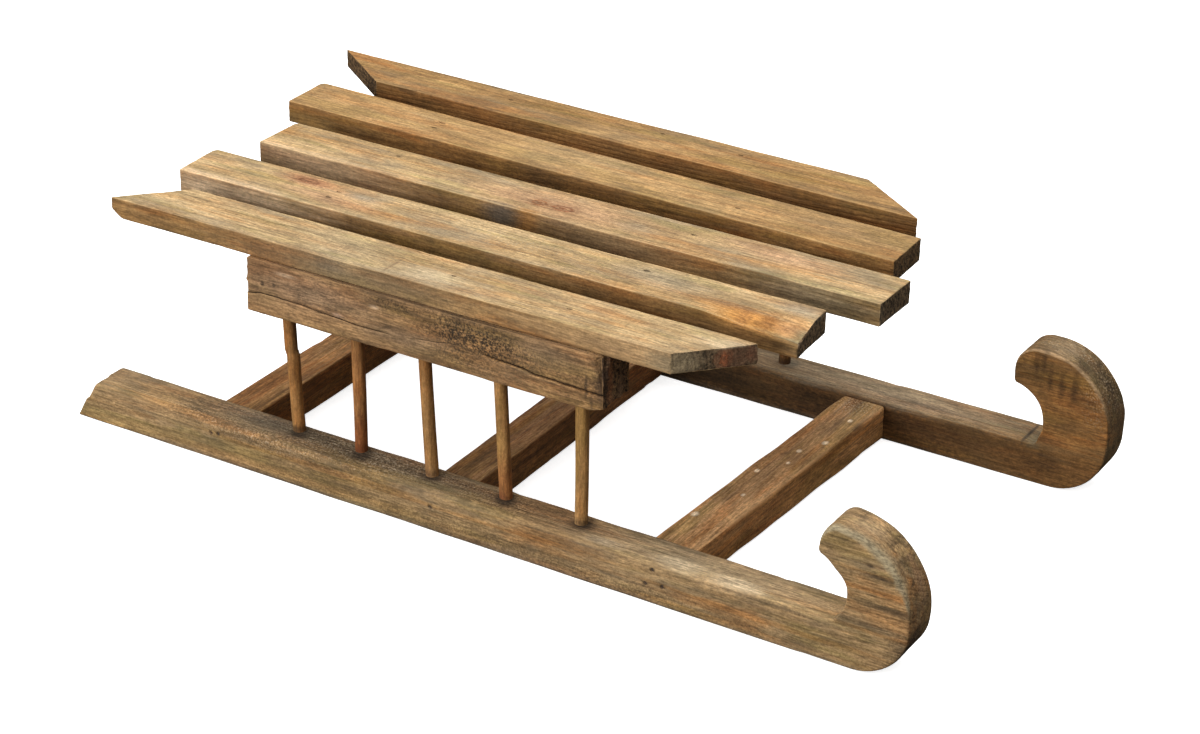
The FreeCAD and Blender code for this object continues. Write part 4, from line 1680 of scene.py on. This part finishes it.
SLAT_MARKS = {
    1: (
        Mark((170.0, -20.0, -7.0), (95.0, 5.0, 12.0), (0.24, 0.19, 0.12), 0.5),
        Mark((370.0, -20.0, -7.0), (70.0, 5.0, 12.0), (0.58, 0.39, 0.20), 0.55),
        Mark((155.0, 0.0, 0.0), (42.0, 20.0, 3.0), (0.38, 0.31, 0.19), 0.5),
        Mark((193.5, -9.0, 0.0), (1.3, 14.0, 2.0), (0.22, 0.14, 0.075), 0.6, hardness=0.5),
        Mark((222.0, -8.0, 0.0), (26.0, 12.0, 2.0), (0.76, 0.60, 0.38), 0.6, hardness=0.1),
        Mark((155.0, -20.0, -6.0), (16.0, 5.0, 6.0), (0.17, 0.13, 0.085), 0.6, hardness=0.1),
        Mark((330.0, -20.0, -4.0), (50.0, 4.0, 6.0), (0.56, 0.34, 0.16), 0.5),
        Mark((400.0, -13.0, -7.0), (20.0, 11.0, 9.0), (0.38, 0.29, 0.17), 0.9, hardness=0.3),
        Mark((428.0, 10.0, -7.0), (16.0, 12.0, 9.0), (0.17, 0.085, 0.045), 0.9, hardness=0.3),
        Mark((421.0, 3.5, -7.5), (6.0, 6.0, 7.0), (0.42, 0.13, 0.05), 0.9, hardness=0.35, rings=True),
        Mark((434.0, 16.5, -7.5), (5.0, 5.0, 7.0), (0.26, 0.085, 0.04), 0.9, hardness=0.35, rings=True),
        Mark((418.0, 8.0, 0.5), (22.0, 10.0, 1.6), (0.66, 0.54, 0.36), 0.6),
    ),
    2: (
        Mark((84.0, 10.0, 0.0), (26.0, 8.5, 4.0), (0.42, 0.20, 0.095), 0.85, hardness=0.35),
        Mark((84.0, 9.0, 0.0), (13.0, 4.2, 4.0), (0.22, 0.085, 0.035), 1.0, hardness=0.55, rings=True),
        Mark((110.0, -5.0, 0.0), (34.0, 15.0, 4.0), KNOT_PINK, 0.5),
        Mark((130.0, 6.0, 0.0), (14.0, 5.0, 3.0), ASH, 0.5),
        # Paler rear of the near side: painted light, where the side is more open to the light.
        Mark((40.0, -20.0, -8.0), (85.0, 5.0, 12.0), (0.74, 0.55, 0.36), 0.85),
        Mark((240.0, 2.0, 0.0), (75.0, 16.0, 3.0), (0.34, 0.33, 0.26), 0.35, speckle=-1),
        Mark((352.0, 5.0, 0.0), (38.0, 12.0, 3.0), (0.32, 0.30, 0.23), 0.45),
        Mark((425.0, -11.0, -3.0), (38.0, 12.0, 7.0), RESIN_ORANGE, 0.92, hardness=0.3),
        Mark((412.0, -4.0, -2.0), (26.0, 4.0, 5.0), (0.26, 0.10, 0.03), 0.65, hardness=0.1),
        Mark((436.0, -9.0, -2.0), (5.0, 11.0, 6.0), (0.30, 0.12, 0.035), 0.5),
        Mark((421.0, -12.0, -3.0), (4.0, 11.0, 6.0), (0.28, 0.12, 0.04), 0.45),
        Mark((449.0, -10.0, -4.0), (9.0, 8.0, 6.0), (0.58, 0.30, 0.13), 0.7, hardness=0.1),
        Mark((425.0, -21.0, -10.0), (36.0, 5.0, 7.0), (0.42, 0.22, 0.08), 0.6, hardness=0.1),
        Mark((446.0, 14.0, 0.0), (18.0, 8.0, 4.0), (0.40, 0.37, 0.29), 0.5),
    ),
    3: (
        Mark((226.0, -1.0, 0.0), (78.0, 19.0, 6.0), (0.44, 0.25, 0.135), 0.75, hardness=0.15),
        Mark((231.0, -3.5, 0.0), (13.0, 6.5, 5.0), (0.25, 0.09, 0.035), 0.95, hardness=0.5, rings=True),
        Mark((213.5, -3.5, 0.0), (9.0, 6.5, 5.0), (0.28, 0.11, 0.04), 0.95, hardness=0.5, rings=True),
        Mark((214.0, -20.0, -8.0), (9.0, 5.0, 12.0), RESIN_ORANGE, 0.8, hardness=0.2),
        Mark((194.0, -20.0, -8.0), (16.0, 4.0, 12.0), (0.09, 0.085, 0.075), 0.8, hardness=0.15),
        # Paler rear of the near side: painted light, where the side is more open to the light.
        Mark((50.0, -20.0, -8.0), (80.0, 5.0, 12.0), (0.72, 0.53, 0.35), 0.5),
        Mark((275.0, -20.0, -8.0), (60.0, 5.0, 12.0), (0.26, 0.20, 0.13), 0.4),
        Mark((382.0, 8.0, 0.0), (52.0, 11.0, 5.0), KNOT_PINK, 0.6),
        Mark((4.0, 7.5, -6.0), (10.0, 12.0, 10.0), RESIN_ORANGE, 0.5, hardness=0.1),
        Mark((420.0, -20.0, -8.0), (50.0, 5.0, 12.0), (0.33, 0.28, 0.19), 0.55),
    ),
    4: (
        Mark((470.0, 0.0, -6.0), (12.0, 24.0, 12.0), (0.27, 0.21, 0.13), 0.8, speckle=-1),
        Mark((240.0, 0.0, 0.0), (110.0, 24.0, 3.0), (0.68, 0.49, 0.27), 0.4),
        Mark((30.0, 0.0, 0.0), (80.0, 24.0, 3.0), (0.40, 0.26, 0.13), 0.4),
        Mark((420.0, 0.0, 0.0), (90.0, 24.0, 3.0), (0.40, 0.27, 0.14), 0.45),
        Mark((215.0, -20.0, -8.0), (22.0, 5.0, 12.0), DIRT_AND_SHADE, 0.5),
    ),
    5: (
        Mark((200.0, -20.0, -8.0), (240.0, 4.0, 12.0), (0.36, 0.19, 0.07), 0.5),
    ),
}
LEFT_DOWEL_TINT: Colour = (0.50, 0.42, 0.36)


def runners() -> list[Runner]:
    """Returns the two runners."""
    # The left runner's edge colour darkens its sides: partly its darker wood, partly painted shade under the
    # deck.
    left_wood = replace(RUNNER_WOOD, edge=(0.84, 0.66, 0.45), worn=(0.62, 0.42, 0.24))
    return [
        Runner("right", HookShape(36.0, 15.0, 19.0, 47.0, 23.5, sag=2.2, crown_loss=2.6), 4.2,
               top_wear=2.3, rim_wear=4.3, marks=SOLE_GRIME + BEAM_MARKS + SOCKET_SHADE_AND_DIRT + RIGHT_HOOK_MARKS,
               nails=BEAM_NAILS),
        Runner("left", HookShape(37.0, 19.5, 22.0, 43.5, 24.7), 8.9, top_wear=0.6, rim_wear=1.5,
               tint=(0.95, 0.92, 0.88), rim=(0.70, 0.68, 0.64), heart=(320.0, -40.0), finish=left_wood,
               marks=SOCKET_SHADE_AND_DIRT + INNER_STREAKS + LEFT_HOOK_MARKS + SOLE_GRIME, saw_cut=568.5),
    ]


def cross_pieces() -> list[CrossPiece]:
    """Returns the three crossbars and the two battens under the deck."""
    slot = "crossbar_wood"
    rubbed = Wear(arris=2.6, chips=4.0, dents=1.4)
    return [
        CrossPiece("crossbar_rear", slot, CROSSBAR_WOOD, Wear(arris=1.4), 1.3, skew=-5.0,
                   tint=(0.86, 0.80, 0.70)),
        CrossPiece("crossbar_middle", slot, CROSSBAR_WOOD, Wear(arris=1.4), 2.6, skew=-5.0,
                   tint=(0.74, 0.68, 0.66)),
        CrossPiece("crossbar_front", slot, CROSSBAR_WOOD, rubbed, 3.9, skew=9.0, tint=(1.12, 1.12, 1.10),
                   marks=FRONT_BAR_MARKS + PAINT_SPECKS),
        CrossPiece("batten_rear", "batten_wood", BATTEN_WOOD, Wear(), 5.2),
        CrossPiece("batten_front", "batten_wood", BATTEN_WOOD, Wear(), 6.5),
    ]


def rails() -> list[Rail]:
    """Returns the two side rails."""
    lower_corner = Nick((1.0, 0.0, -1.0), ((-10.0, 0.0, 0.0), (-10.0, 5.0, 0.0), (0.0, 0.0, 3.5)), 1.2,
                        shows=False)
    end_break = Nick((1.0, -1.0, 1.0), ((-8.0, 0.0, 0.0), (0.0, 9.0, 0.0), (0.0, 0.0, -26.0)), 2.2,
                     shows=False)

    def splits(face: Face) -> tuple[Crack, ...]:
        """Returns the stretches of the split: thin at the rear, hair-fine, then wide open."""
        return (
            Crack(face, RAIL_SPLIT[:6], 2.4, 0.28, jag=0.3, lip=0.5),
            Crack(face, RAIL_SPLIT[5:9], 0.5, 0.2, jag=0.3),
            Crack(face, RAIL_SPLIT[8:], 5.0, 0.42, jag=0.4, lip=0.3),
        )

    return [
        Rail("right", 7.7, Crack(Face.RIGHT, RAIL_SPLIT, jag=0.45), RAIL_MARKS, tint=(0.97, 0.97, 0.97),
             nicks=(lower_corner, end_break), cracks=splits(Face.RIGHT)),
        Rail("left", 9.4, Crack(Face.LEFT, RAIL_SPLIT, jag=0.45), RAIL_MARKS[:2], cracks=splits(Face.LEFT)),
    ]


def dowels() -> list[Dowel]:
    """Returns the ten dowels."""
    return [
        Dowel("right", 1, tint=(0.82, 0.77, 0.70), leans=(1.0, -1.0), step=1.3),
        Dowel("right", 2, tint=(0.74, 0.60, 0.52), leans=(1.0, -1.0), foot_red=0.7),
        Dowel("right", 3, tint=(1.04, 1.04, 1.04), leans=(-1.0, -1.0), foot_red=0.2),
        Dowel("right", 4, tint=(0.94, 0.88, 0.82), leans=(-1.0, -1.0), foot_red=0.6),
        Dowel("right", 5, tint=(1.12, 1.15, 1.15), leans=(1.0, -1.0)),
    ] + [Dowel("left", number, tint=LEFT_DOWEL_TINT, leans=(1.0, -1.0)) for number in range(1, 6)]


def slats() -> list[Slat]:
    """Returns the five deck slats, from the right."""
    foot_cut = Nick((-1.0, 0.0, -1.0), ((0.0, 0.0, 6.0), (0.0, 5.0, 6.0), (9.0, 0.0, 0.0)), shows=False)
    wane = Nick((1.0, -1.0, 1.0), ((-66.0, 0.0, 0.0), (0.0, 24.0, 0.0), (0.0, 0.0, -7.5)), 0.6, shows=False)
    far_corner = Nick((-1.0, 1.0, 0.0), ((0.0, -4.0, 0.0), (3.0, 0.0, 0.0), (0.0, -4.0, 5.0)), shows=False)
    return [
        Slat(1, 2.0, 36.0, 11.0, nicks=(foot_cut,), marks=SLAT_MARKS[1],
             nails=(Nail((317.1, -0.6, 0.0), turn=-8.0), Nail((233.7, 0.5, 0.0), turn=5.0))),
        Slat(2, 3.0, -2.5, 12.7, nicks=(wane, far_corner), marks=SLAT_MARKS[2],
             nails=(Nail((339.9, 10.7, 0.0), turn=12.0, head=(3.2, 1.4)), Nail((110.4, -5.4, 0.0)),
                    Nail((110.6, 5.7, 0.0), turn=-15.0))),
        Slat(3, 1.0, 0.0, 13.9, nicks=(far_corner,), arris=1.0, swell=2.0, marks=SLAT_MARKS[3],
             nails=(Nail((322.4, 6.4, 0.0), turn=6.0), Nail((93.4, 9.1, 0.0)))),
        # Slats 4 and 5 are tinted darker: partly their browner wood, partly painted shade for the light
        # falling off towards the far side.
        Slat(4, -10.0, -2.0, 15.1, tint=(0.89, 0.80, 0.67), nicks=(far_corner,), marks=SLAT_MARKS[4],
             nails=(Nail((355.3, -6.9, 0.0), turn=-10.0), Nail((113.7, 8.9, 0.0)),
                    Nail((114.0, -1.2, 0.0), turn=8.0))),
        Slat(5, -6.5, -56.0, 16.6, tint=(0.80, 0.70, 0.57), marks=SLAT_MARKS[5],
             nails=(Nail((127.2, 6.1, 0.0)), Nail((248.5, 10.7, 0.0), turn=9.0),
                    Nail((311.9, 6.4, 0.0), turn=-7.0))),
    ]


def main() -> None:
    """Builds every piece in order, dresses it and sets up the studio."""
    logging.basicConfig(level=logging.INFO, format="%(message)s")
    steel = steel_finish()
    for part in (*runners(), *cross_pieces(), *rails(), *slats(), *dowels()):
        part.dress(part.build(), steel)
    Studio().build()


if __name__ == "__main__":
    main()
